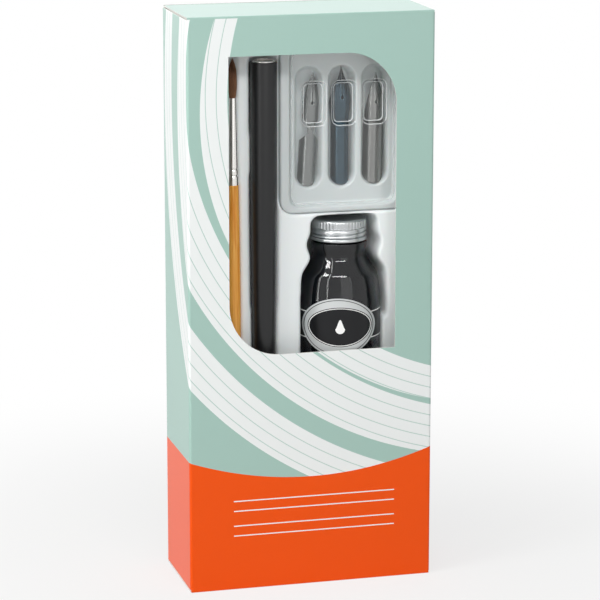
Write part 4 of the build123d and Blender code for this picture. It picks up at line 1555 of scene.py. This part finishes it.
@dataclass
class Brush:
    """Round brush: honey-coloured handle, nickel ferrule and a tuft of single hairs.

    belly_share is how far below the ferrule the handle is widest. lower is (share of the way from the tail to
    the belly, radius) and waist (distance below the ferrule, radius). The tuft has fewer and slightly thicker
    hairs than a real one, which has some 1,500 of 0.06 mm. hair_short is (how much shorter the outermost
    hairs end, power of the share outwards), and uneven and sway are how much single hairs differ.
    """

    book: FinishBook
    tail_radius: float = 1.1
    lower: tuple[float, float] = (0.35, 1.75)
    waist: tuple[float, float] = (12.0, 2.0)
    belly_share: float = 0.37
    joint_step: float = 0.25
    ferrule_tail: float = 1.75
    ferrule_mouth: float = 1.15
    ferrule_wall: float = 0.2
    mouth_depth: float = 1.0
    crimps: tuple[float, float] = (2.9, 4.9)
    crimp_depth: float = 0.16
    crimp_width: float = 0.28
    hair_root: float = 0.8
    hair_shares: tuple[float, ...] = (0.0, 0.38, 0.62, 0.85, 1.0)
    hair_radii: tuple[float, ...] = (0.93, 1.4, 1.32, 1.05, 0.5)
    hair_short: tuple[float, float] = (0.26, 2.2)
    uneven: float = 0.05
    sway: float = 0.12
    hairs: int = 620
    hair_rings: int = 9
    hair_width: float = 0.075

    def build(self) -> None:
        """Makes the three parts."""
        self.build_handle()
        self.build_ferrule()
        self.build_hair()

    def build_handle(self) -> None:
        """Makes the handle: its radius flows from the tail over the belly to the ferrule."""
        seat, ferrule = Seat.of("brush_handle"), Seat.of("brush_ferrule")
        x, y = seat.middle[:2]
        low, joint = seat.low[2], ferrule.low[2]
        belly = joint - self.belly_share * (joint - low)
        height = np.linspace(low + self.tail_radius, joint, 60)
        lower = low + self.lower[0] * (belly - low)
        places = [low + self.tail_radius, lower, belly, joint - self.waist[0], joint]
        sizes = [self.tail_radius, self.lower[1], seat.size[0] / 2, self.waist[1], self.ferrule_tail]
        radius = flow(places, sizes, height)
        turn = np.linspace(0, np.pi / 2, 8)[:-1]
        tail = np.stack([self.tail_radius * np.sin(turn), low + self.tail_radius * (1 - np.cos(turn))], -1)
        side = np.stack([radius, height], -1)
        profile = np.vstack([tail, side, [[self.ferrule_tail - self.joint_step, joint], [0.0, joint]]])
        Surfaces().add(turned(profile, x, y, 48), closed=True).piece(
            "brush_lacquered_handle", [self.book.get(HONEY_LACQUER)], Body.BOX, ("brush_handle",)
        )

    def build_ferrule(self) -> None:
        """Makes the ferrule: a taper less two rolled grooves, each depth times exp(-(distance / width)^2)."""
        seat = Seat.of("brush_ferrule")
        x, y = seat.middle[:2]
        low, high = seat.low[2], seat.high[2]
        height = np.unique(np.concatenate([np.linspace(low, high, 40), np.linspace(low + 2, low + 6, 60)]))
        radius = np.interp(height, [low, high], [self.ferrule_tail, self.ferrule_mouth])
        for rise in self.crimps:
            radius = radius - self.crimp_depth * np.exp(-(((height - low - rise) / self.crimp_width) ** 2))
        outside = np.stack([radius, height], -1)
        floor, plug = high - self.mouth_depth, self.ferrule_mouth - self.joint_step
        inside = [[self.ferrule_mouth - self.ferrule_wall, high], [plug, floor], [0.0, floor]]
        profile = np.vstack([[[self.ferrule_tail - self.ferrule_wall, low]], outside, inside])
        Surfaces().add(turned(profile, x, y, 64), closed=True).piece(
            "brush_nickel_ferrule", [self.book.get(NICKEL)], Body.BOX, ("brush_ferrule",)
        )

    def build_hair(self) -> None:
        """Makes the tuft.

        Each hair starts on a sunflower spiral, with a turn of the golden angle and a share outwards of the
        root of its number over the count. It keeps that share of the tuft's radius, which swells to the belly
        and then closes in. It ends where it meets the outline, and tapers from its middle on.
        """
        seat, ferrule = Seat.of("brush_hair"), Seat.of("brush_ferrule")
        x, y = ferrule.middle[:2]
        root, tip = ferrule.high[2] - self.hair_root, seat.high[2]
        number = np.arange(self.hairs)
        share = np.sqrt((number + 0.5) / self.hairs)
        turn = number * math.pi * (3 - math.sqrt(5))
        wander = np.sin(number * 12.9898) * 0.5
        short, power = self.hair_short
        end = 1 - short * share**power - self.uneven * np.abs(wander)
        along = np.linspace(0, 1, self.hair_rings)[None, :]
        station = along * end[:, None]
        swell = flow(list(self.hair_shares), list(self.hair_radii), station.ravel())
        swell = swell.reshape(station.shape) - self.hair_width / 2
        angle = turn[:, None] + self.sway * wander[:, None] * station
        radius = share[:, None] * swell
        width = self.hair_width * np.clip(1.15 - along**3, 0.12, 1)
        corner = np.arange(3) * 2 * np.pi / 3
        centre = np.stack([radius * np.cos(angle), radius * np.sin(angle), station * (tip - root)], -1)
        ring = np.stack([np.cos(corner), np.sin(corner), np.zeros(3)], -1)
        points = centre[:, :, None, :] + ring[None, None] * (width / 2)[:, :, None, None]
        Surfaces().add_tubes(points + np.array([x, y, root])).piece(
            "brush_hair_tuft", [self.book.get(BROWN_HAIR)], Body.BOX, ("brush_hair",), outward=False, sharp=180
        )


# Ink bottle


class LabelPrint(Enum):
    """Material slots of the label."""

    SILVER = 0
    BLACK = 1
    LINE = 2
    WHITE = 3


@dataclass
class InkBottle:
    """Glass bottle with its ink, label and aluminium screw cap.

    Heights are above the bottle's foot. shoulder, waist, neck_start and inner_neck are (radius, height), collar
    is (radius, lower height, upper height), and body_ease is (how much slimmer, how far above body_top). Pairs
    in label_ are half the width and half the height of an oval, and names in _insets say how far inside it its
    lines are drawn. Names in _gap are heights over the glass. flute_ends are measured up from the cap's rim
    and down from its top, thread_ends up from the rim. A turn is in degrees, the rest in millimetres.
    """

    book: FinishBook
    wall: float = 1.4
    foot_round: float = 2.2
    foot_height: float = 6.0
    floor_round: float = 2.5
    floor_height: float = 5.0
    body_top: float = 18.5
    body_ease: tuple[float, float] = (0.35, 4.5)
    shoulder: tuple[float, float] = (11.9, 27.5)
    neck_start: tuple[float, float] = (9.6, 31.2)
    inner_neck: tuple[float, float] = (7.4, 31.5)
    waist: tuple[float, float] = (8.4, 33.6)
    under_collar: float = 8.7
    collar: tuple[float, float, float] = (8.8, 35.2, 37.8)
    finish_radius: float = 7.5
    bore: float = 5.4
    ink_height: float = 37.6
    ink_inset: float = 0.5
    flutes: int = 48
    flute_depth: float = 0.2
    flute_ends: tuple[float, float] = (4.1, 0.4)
    cap_wall: float = 0.35
    rim_width: float = 0.4
    thread_climb: float = 0.4
    thread_ends: tuple[float, float] = (1.25, 4.3)
    label_half: tuple[float, float] = (11.4, 9.2)
    label_inner: tuple[float, float] = (10.0, 6.3)
    silver_insets: tuple[float, ...] = (0.75, 0.5, 0.0)
    black_insets: tuple[float, ...] = (0.5, 0.25, 0.0)
    inner_turn: float = 2.5
    label_turn: float = 16.0
    label_gap: float = 0.03
    print_gap: float = 0.06
    drop_gap: float = 0.075
    label_height: float = 12.5
    band_height: float = 8.6
    band_edge: float = 0.35
    drop_radius: float = 1.5
    drop_point: float = 3.0
    drop_low: float = 0.6

    def build(self) -> None:
        """Makes the glass, the ink, the label and the cap."""
        self.seat = Seat.of("bottle_glass")
        self.x, self.y = self.seat.middle[:2]
        self.low = self.seat.low[2]
        self.radius = self.seat.size[0] / 2
        self.build_glass()
        self.build_ink()
        self.build_label()
        self.build_cap()
        self.book.paint("cap_liner", FOAM)

    def outer_side(self) -> np.ndarray:
        """Glass's outside from its foot to the rim.

        Returns:
            (radius, height) rows.
        """
        r, full = self.radius, self.seat.size[2]
        foot = soft_corners([(0.0, 0.0, 0), (r, 0.0, self.foot_round), (r, self.foot_height, 0)], 12)
        wide, low, high = self.collar
        slimmer, above = self.body_ease
        stations = [
            (r, self.foot_height),
            (r, self.body_top),
            (r - slimmer, self.body_top + above),
            self.shoulder,
            self.neck_start,
            self.waist,
            (self.under_collar, low),
        ]
        sizes, places = zip(*stations)
        height = np.linspace(self.foot_height, low, 90)
        side = np.stack([flow(list(places), list(sizes), height), height], -1)
        neck = [
            (self.under_collar, low, 0),
            (wide, low + 0.8, 0.5),
            (wide, high, 0.5),
            (self.finish_radius, high, 0.3),
            (self.finish_radius, full, 0.5),
            (self.bore, full, 0.5),
            (self.bore, self.waist[1] + 1.0, 0.5),
        ]
        return np.vstack([foot, side, soft_corners(neck, 8)])

    def inner_side(self) -> np.ndarray:
        """Glass's inside from the neck down to its floor.

        Returns:
            (radius, height) rows.
        """
        inner, low, high = self.radius - self.wall, self.floor_height, self.waist[1] + 0.9
        stations = [
            (inner, low),
            (inner, self.body_top - 1.0),
            (self.shoulder[0] - 1.7, self.shoulder[1] - 1.5),
            self.inner_neck,
            (self.bore, high),
        ]
        sizes, places = zip(*stations)
        height = np.linspace(high, low, 70)
        side = np.stack([flow(list(places), list(sizes), height), height], -1)
        floor = [(inner, low, 0), (inner, self.wall + 0.4, self.floor_round), (0.0, self.wall, 0)]
        return np.vstack([side, soft_corners(floor, 10)])

    def raised(self, profile: np.ndarray) -> np.ndarray:
        """Profile moved up from the bottle's foot to its place."""
        return profile + np.array([0, self.low])

    def build_glass(self) -> None:
        """Makes the glass as one closed wall."""
        profile = refined(np.vstack([self.outer_side(), self.inner_side()]), 0.8)
        Surfaces().add(turned(self.raised(profile), self.x, self.y, 128), closed=True).piece(
            "bottle_clear_glass", [self.book.get(FLINT_GLASS)], Body.BOX, ("bottle_glass",)
        )

    def build_ink(self) -> None:
        """Makes the ink: the glass's outside less a thin inset, up to a level top under the cap.

        Seen through the wall, ink looks as wide as the glass, so the wall is left thin here.
        """
        outside = self.outer_side()
        outside = outside[outside[:, 1] <= self.ink_height]
        body = np.stack([np.maximum(outside[:, 0] - self.ink_inset, 0), outside[:, 1]], -1)
        body[:, 1] = np.maximum(body[:, 1], self.ink_inset)
        profile = refined(np.vstack([body, [[0.0, body[-1, 1]]]]), 0.8)
        Surfaces().add(turned(self.raised(profile), self.x, self.y, 128), closed=True).piece(
            "bottle_black_ink", [self.book.get(BLACK_INK)], Body.BOX, ("bottle_ink",)
        )

    def on_label(self, chord: np.ndarray, rise: np.ndarray, proud: float, turn: np.ndarray | float) -> np.ndarray:
        """Points of the wrapped label from their place across the oval and above its middle.

        The angle round the bottle is arcsin(place / radius), less the turn of the label.

        Args:
            chord: Place across, as seen from in front of the label.
            rise: Height above the label's middle.
            proud: Distance outside the glass.
            turn: Degrees that the place is turned on to the right.

        Returns:
            Points, as a grid.
        """
        r = self.radius + proud
        angle = np.arcsin(np.clip(chord / r, -1, 1)) - np.radians(self.label_turn - turn)
        z = self.low + self.label_height + rise
        return np.stack([self.x + r * np.sin(angle), self.y - r * np.cos(angle), z], -1)

    def oval_ring(self, inner: tuple[float, float, float], outer: tuple[float, float, float], rows: int) -> np.ndarray:
        """Grid between two ovals: the row goes from one to the other in equal steps, the column round them.

        Args:
            inner: Half width, half height and turn to the right in degrees of the inner oval.
            outer: The same of the outer oval.
            rows: Steps from one to the other, plus one.

        Returns:
            Points of the ring.
        """
        around = np.linspace(0, 2 * np.pi, 121)[None, :]
        t = np.linspace(0, 1, rows)[:, None]
        wide, high, turn = (start + (end - start) * t for start, end in zip(inner, outer))
        proud = self.label_gap + self.print_gap
        return self.on_label(wide * np.cos(around), high * np.sin(around), proud, turn)

    def build_label(self) -> None:
        """Makes the label: a black oval in a silver ring, each with a thin line, on a band round the bottle."""
        w, h = self.label_half
        iw, ih = self.label_inner
        ovals = [(0.0, 0.0, self.inner_turn)]
        ovals += [(iw - inset, ih - inset, self.inner_turn) for inset in self.black_insets]
        ovals += [(w - inset, h - inset, 0.0) for inset in self.silver_insets]
        silver, black, line, white = (slot.value for slot in LabelPrint)
        rings = ((8, black), (2, white), (2, black), (8, silver), (2, line), (3, silver))
        label = Surfaces()
        for inner, outer, (rows, finish) in zip(ovals, ovals[1:], rings):
            label.add(self.oval_ring(inner, outer, rows), finish=finish, flip=True)
        label.add(self.drop(), finish=white, flip=True)
        half = self.band_height / 2
        edge = half - self.band_edge
        for low, high, finish in ((-half, -edge, white), (-edge, edge, black), (edge, half, white)):
            label.add(self.band(low, high), finish=finish)
        finishes = [self.book.get(f) for f in (LABEL_SILVER, LABEL_BLACK, LABEL_LINE, LABEL_WHITE)]
        label.piece("bottle_printed_label", finishes, Body.BOX, ("bottle_label",), outward=False)

    def drop(self) -> np.ndarray:
        """White drop in the middle of the oval: a circle whose upper half is drawn out to a point.

        Its upper half rises by the cube of the sine, and is narrower by a fifth of the sine squared.

        Returns:
            Grid of points from the middle out.
        """
        turn = np.linspace(0, 2 * np.pi, 61)[None, :]
        t = np.linspace(0, 1, 5)[:, None]
        sine = np.sin(turn)
        rise = np.where(sine > 0, sine**3 * self.drop_point, sine * self.drop_radius)
        wide = self.drop_radius * np.cos(turn) * np.where(sine > 0, 1 - sine**2 * 0.2, 1)
        return self.on_label(t * wide, t * rise - self.drop_low, self.label_gap + self.drop_gap, self.inner_turn)

    def band(self, low: float, high: float) -> np.ndarray:
        """Strip of the band right round the bottle.

        Args:
            low: Lower edge, from the label's middle.
            high: Upper edge, from the label's middle.

        Returns:
            Grid of points: (x + r cos a, y + r sin a, height).
        """
        angle = np.linspace(0, 2 * np.pi, 129)[None, :]
        r = self.radius + self.label_gap
        z = self.low + self.label_height + np.array([low, high])[:, None]
        x = self.x + r * np.cos(angle)
        y = self.y + r * np.sin(angle)
        return np.stack(np.broadcast_arrays(x, y, z), -1)

    def build_cap(self) -> None:
        """Makes the cap: a turned shell whose upper band is fluted.

        The flutes are a dip in the radius of half the depth times 1 + cos(flutes times the angle). The two
        bands of the thread below them climb to the right, by thread_climb times the angle's cosine.
        """
        seat = Seat.of("bottle_cap")
        low, top, rim = seat.low[2], seat.high[2], seat.size[0] / 2
        r = rim - self.rim_width
        inner = r - self.cap_wall
        # The profile: the rolled rim, the thread's lower and upper band with grooves between, the fluted band
        # and the top with its shallow step.
        corners = [
            (inner, low + 0.05, 0),
            (rim - 0.25, low, 0.2),
            (rim, low + 0.35, 0.3),
            (rim - 0.05, low + 1.0, 0.35),
            (r - 0.3, low + 1.3, 0.12),
            (r + 0.2, low + 1.55, 0.25),
            (r + 0.15, low + 2.15, 0.3),
            (r - 0.35, low + 2.45, 0.14),
            (r + 0.15, low + 2.75, 0.3),
            (r + 0.08, low + 3.6, 0.4),
            (r - 0.35, low + 3.95, 0.2),
            (r, low + 4.2, 0.2),
            (r, top - 0.75, 0.3),
            (r - 0.25, top - 0.28, 0.35),
            (r - 0.9, top, 0.5),
            (r - 1.5, top, 0.1),
            (r - 1.8, top - 0.12, 0.1),
            (0.0, top - 0.14, 0),
        ]
        outside = refined(soft_corners(corners, 6), 0.25)
        grid = turned(outside, 0, 0, self.flutes * 8)
        angle = np.arctan2(grid[..., 1], grid[..., 0])
        height = grid[..., 2]
        flute_low, flute_high = self.flute_ends
        zone = eased((height - low - flute_low) / 0.25) * eased((top - flute_high - height) / 0.4)
        dip = self.flute_depth * (0.5 + 0.5 * np.cos(self.flutes * angle)) * zone
        thread_low, thread_high = self.thread_ends
        climb = eased((height - low - thread_low) / 0.5) * eased((low + thread_high - height) / 0.5)
        grid[..., 2] += self.thread_climb * np.cos(angle) * climb
        radius = np.hypot(grid[..., 0], grid[..., 1])
        scale = np.where(radius > 1, (radius - dip) / np.maximum(radius, 1), 1)
        grid = grid * np.stack([scale, scale, np.ones_like(scale)], -1) + np.array([self.x, self.y, 0])
        inside = np.array([(inner, low + 0.05), (inner, top - self.cap_wall), (0.0, top - self.cap_wall)])
        shell = Surfaces().add(grid, closed=True)
        shell.add(turned(refined(inside, 2.0), self.x, self.y, self.flutes * 8), closed=True)
        shell.piece("bottle_aluminium_cap", [self.book.get(ALUMINIUM)], Body.SCREW_CAP, ("bottle_cap",))


# Studio


@dataclass(frozen=True)
class Lamp:
    """Soft rectangular lamp that looks at the object's middle. Its place and its size are in metres."""

    name: str
    place: tuple[float, float, float]
    size: tuple[float, float]
    watts: float


@dataclass
class Studio:
    """Pale floor, soft lamps, white surroundings and the camera at the photograph's place.

    The shadow is shown in full up to the first distance of shadow_reach and not at all from the second on.
    Places are in metres, angles in degrees, and focal_pixels, principal and picture in pixels of the photograph.
    """

    target: tuple[float, float, float] = (0.0, 0.0, 0.09)
    floor_half: float = 3.0
    white: str = "#FFFFFF"
    paper: str = "#D2D2D0"
    surround_colour: str = "#F2F5F7"
    surround_strength: float = 0.27
    lamps: tuple[Lamp, ...] = (
        Lamp("window", (-0.7, -0.32, 0.87), (0.24, 0.24), 3.3),
        Lamp("strip", (-0.31, -0.3, 0.31), (0.03, 0.6), 0.34),
        Lamp("side", (-0.55, -0.12, 0.3), (0.14, 0.58), 1.0),
        Lamp("fill", (0.15, -1.15, 0.32), (0.7, 1.0), 1.8),
        Lamp("top", (-0.1, 0.2, 1.1), (0.9, 0.7), 1.4),
        Lamp("crown", (-0.12, -0.62, 0.72), (0.6, 0.12), 2.8),
        Lamp("back", (-0.1, 1.15, 0.32), (1.3, 0.55), 2.2),
    )
    shadow_reach: tuple[float, float] = (0.06, 0.24)
    shadow_depth: float = 0.26
    camera_place: tuple[float, float, float] = (-0.2253, -0.8413, 0.2872)
    yaw: float = -15.24
    pitch: float = -12.49
    roll: float = 0.08
    focal_pixels: float = 2844.9
    principal: tuple[float, float] = (310.0, 279.9)
    picture: float = 600.0
    sensor: float = 36.0

    def build(self) -> None:
        """Sets up the floor, the lamps, the world and the camera."""
        bpy.context.scene.view_settings.view_transform = "Standard"
        self.build_floor()
        for lamp in self.lamps:
            self.hang(lamp)
        self.surround()
        self.set_camera()

    def build_floor(self) -> None:
        """Lays the floor under the object."""
        mesh = bpy.data.meshes.new("floor")
        half = self.floor_half
        corners = [(-half, -half, 0), (half, -half, 0), (half, half, 0), (-half, half, 0)]
        mesh.from_pydata(corners, [], [(0, 1, 2, 3)])
        mesh.materials.append(self.floor_paper())
        floor = bpy.data.objects.new("floor", mesh)
        bpy.context.scene.collection.objects.link(floor)

    def floor_paper(self) -> bpy.types.Material:
        """White paper that shows the object's shadow near it and fades to the white surroundings farther out.

        It gives the eye a soft grey shadow at the carton's foot, and no edge to the floor.

        Returns:
            The floor's material.
        """
        material = bpy.data.materials.new("floor_paper")
        material.use_nodes = True
        tree = material.node_tree
        tree.nodes.clear()
        paper = add_node(tree, "ShaderNodeBsdfDiffuse", {"Color": linear(self.paper)})
        glow = add_node(tree, "ShaderNodeEmission", {"Color": linear(self.white), "Strength": 1.0})
        coordinates = add_node(tree, "ShaderNodeTexCoord").outputs["Object"]
        away = add_node(tree, "ShaderNodeVectorMath", {0: coordinates}, operation="LENGTH").outputs["Value"]
        near, far = self.shadow_reach
        reach = {"Value": away, "From Min": near, "From Max": far, "To Min": 1 - self.shadow_depth, "To Max": 1.0}
        share = add_node(tree, "ShaderNodeMapRange", reach, interpolation_type="SMOOTHSTEP").outputs[0]
        seen = maths(tree, "MULTIPLY", share, self.seen(tree))
        surface = add_node(tree, "ShaderNodeMixShader", {0: seen, 1: paper.outputs[0], 2: glow.outputs[0]})
        add_node(tree, "ShaderNodeOutputMaterial", {"Surface": surface.outputs[0]})
        return material

    @staticmethod
    def seen(tree: bpy.types.NodeTree) -> bpy.types.NodeSocket:
        """1 for the rays that see the background: camera rays and those that gloss or clear pieces send on.

        Args:
            tree: Node tree of the floor or the world.

        Returns:
            1 for such a ray, and 0 for the others.
        """
        path = add_node(tree, "ShaderNodeLightPath")
        camera, glossy, clear = (path.outputs[f"Is {kind} Ray"] for kind in ("Camera", "Glossy", "Transmission"))
        return maths(tree, "MAXIMUM", maths(tree, "MAXIMUM", camera, glossy), clear)

    def hang(self, lamp: Lamp) -> None:
        """Adds one area lamp.

        Args:
            lamp: Lamp to add.
        """
        light = bpy.data.lights.new(lamp.name, "AREA")
        light.shape = "RECTANGLE"
        light.size, light.size_y = lamp.size
        light.energy = lamp.watts
        thing = bpy.data.objects.new(lamp.name, light)
        thing.location = lamp.place
        aim = Vector(self.target) - Vector(lamp.place)
        thing.rotation_euler = aim.to_track_quat("-Z", "Y").to_euler()
        bpy.context.scene.collection.objects.link(thing)

    def surround(self) -> None:
        """Gives a dim pale light all round, and white to the rays that see the background."""
        world = bpy.data.worlds.new("studio")
        world.use_nodes = True
        tree = world.node_tree
        tree.nodes.clear()
        dim = add_node(tree, "ShaderNodeBackground", {0: linear(self.surround_colour), 1: self.surround_strength})
        white = add_node(tree, "ShaderNodeBackground", {0: linear(self.white), 1: 1.0})
        inputs = {0: self.seen(tree), 1: dim.outputs[0], 2: white.outputs[0]}
        surface = add_node(tree, "ShaderNodeMixShader", inputs)
        add_node(tree, "ShaderNodeOutputWorld", {"Surface": surface.outputs[0]})
        bpy.context.scene.world = world

    def set_camera(self) -> None:
        """Stands the camera where the photograph was taken from."""
        camera = bpy.data.cameras.new("camera")
        camera.sensor_width = self.sensor
        camera.lens = self.focal_pixels / self.picture * self.sensor
        camera.shift_x = (self.picture / 2 - self.principal[0]) / self.picture
        camera.shift_y = (self.principal[1] - self.picture / 2) / self.picture
        camera.clip_start = 0.01
        thing = bpy.data.objects.new("camera", camera)
        yaw, pitch = math.radians(self.yaw), math.radians(self.pitch)
        turn = Matrix.Rotation(yaw, 4, "Z") @ Matrix.Rotation(math.pi / 2 + pitch, 4, "X")
        turn = turn @ Matrix.Rotation(math.radians(self.roll), 4, "Z")
        thing.matrix_world = Matrix.Translation(self.camera_place) @ turn
        bpy.context.scene.collection.objects.link(thing)
        bpy.context.scene.camera = thing


def main() -> None:
    """Builds the whole set in order."""
    logging.basicConfig(level=logging.INFO, format="%(message)s")
    book = FinishBook()
    Carton(book).build()
    tray = MainTray(
        Seat.of("main_tray"), corner=4.0, sheet=0.6, lip=0.6, softness=0.42, columns=190, rows=225, crowding=1.5
    )
    tray.build("main_tray_sheet", "main_tray", book.get(TRAY_SHEET))
    NibRow(book).build()
    PenHolder(book).build()
    Brush(book).build()
    InkBottle(book).build()
    Studio().build()


if __name__ == "__main__":
    main()
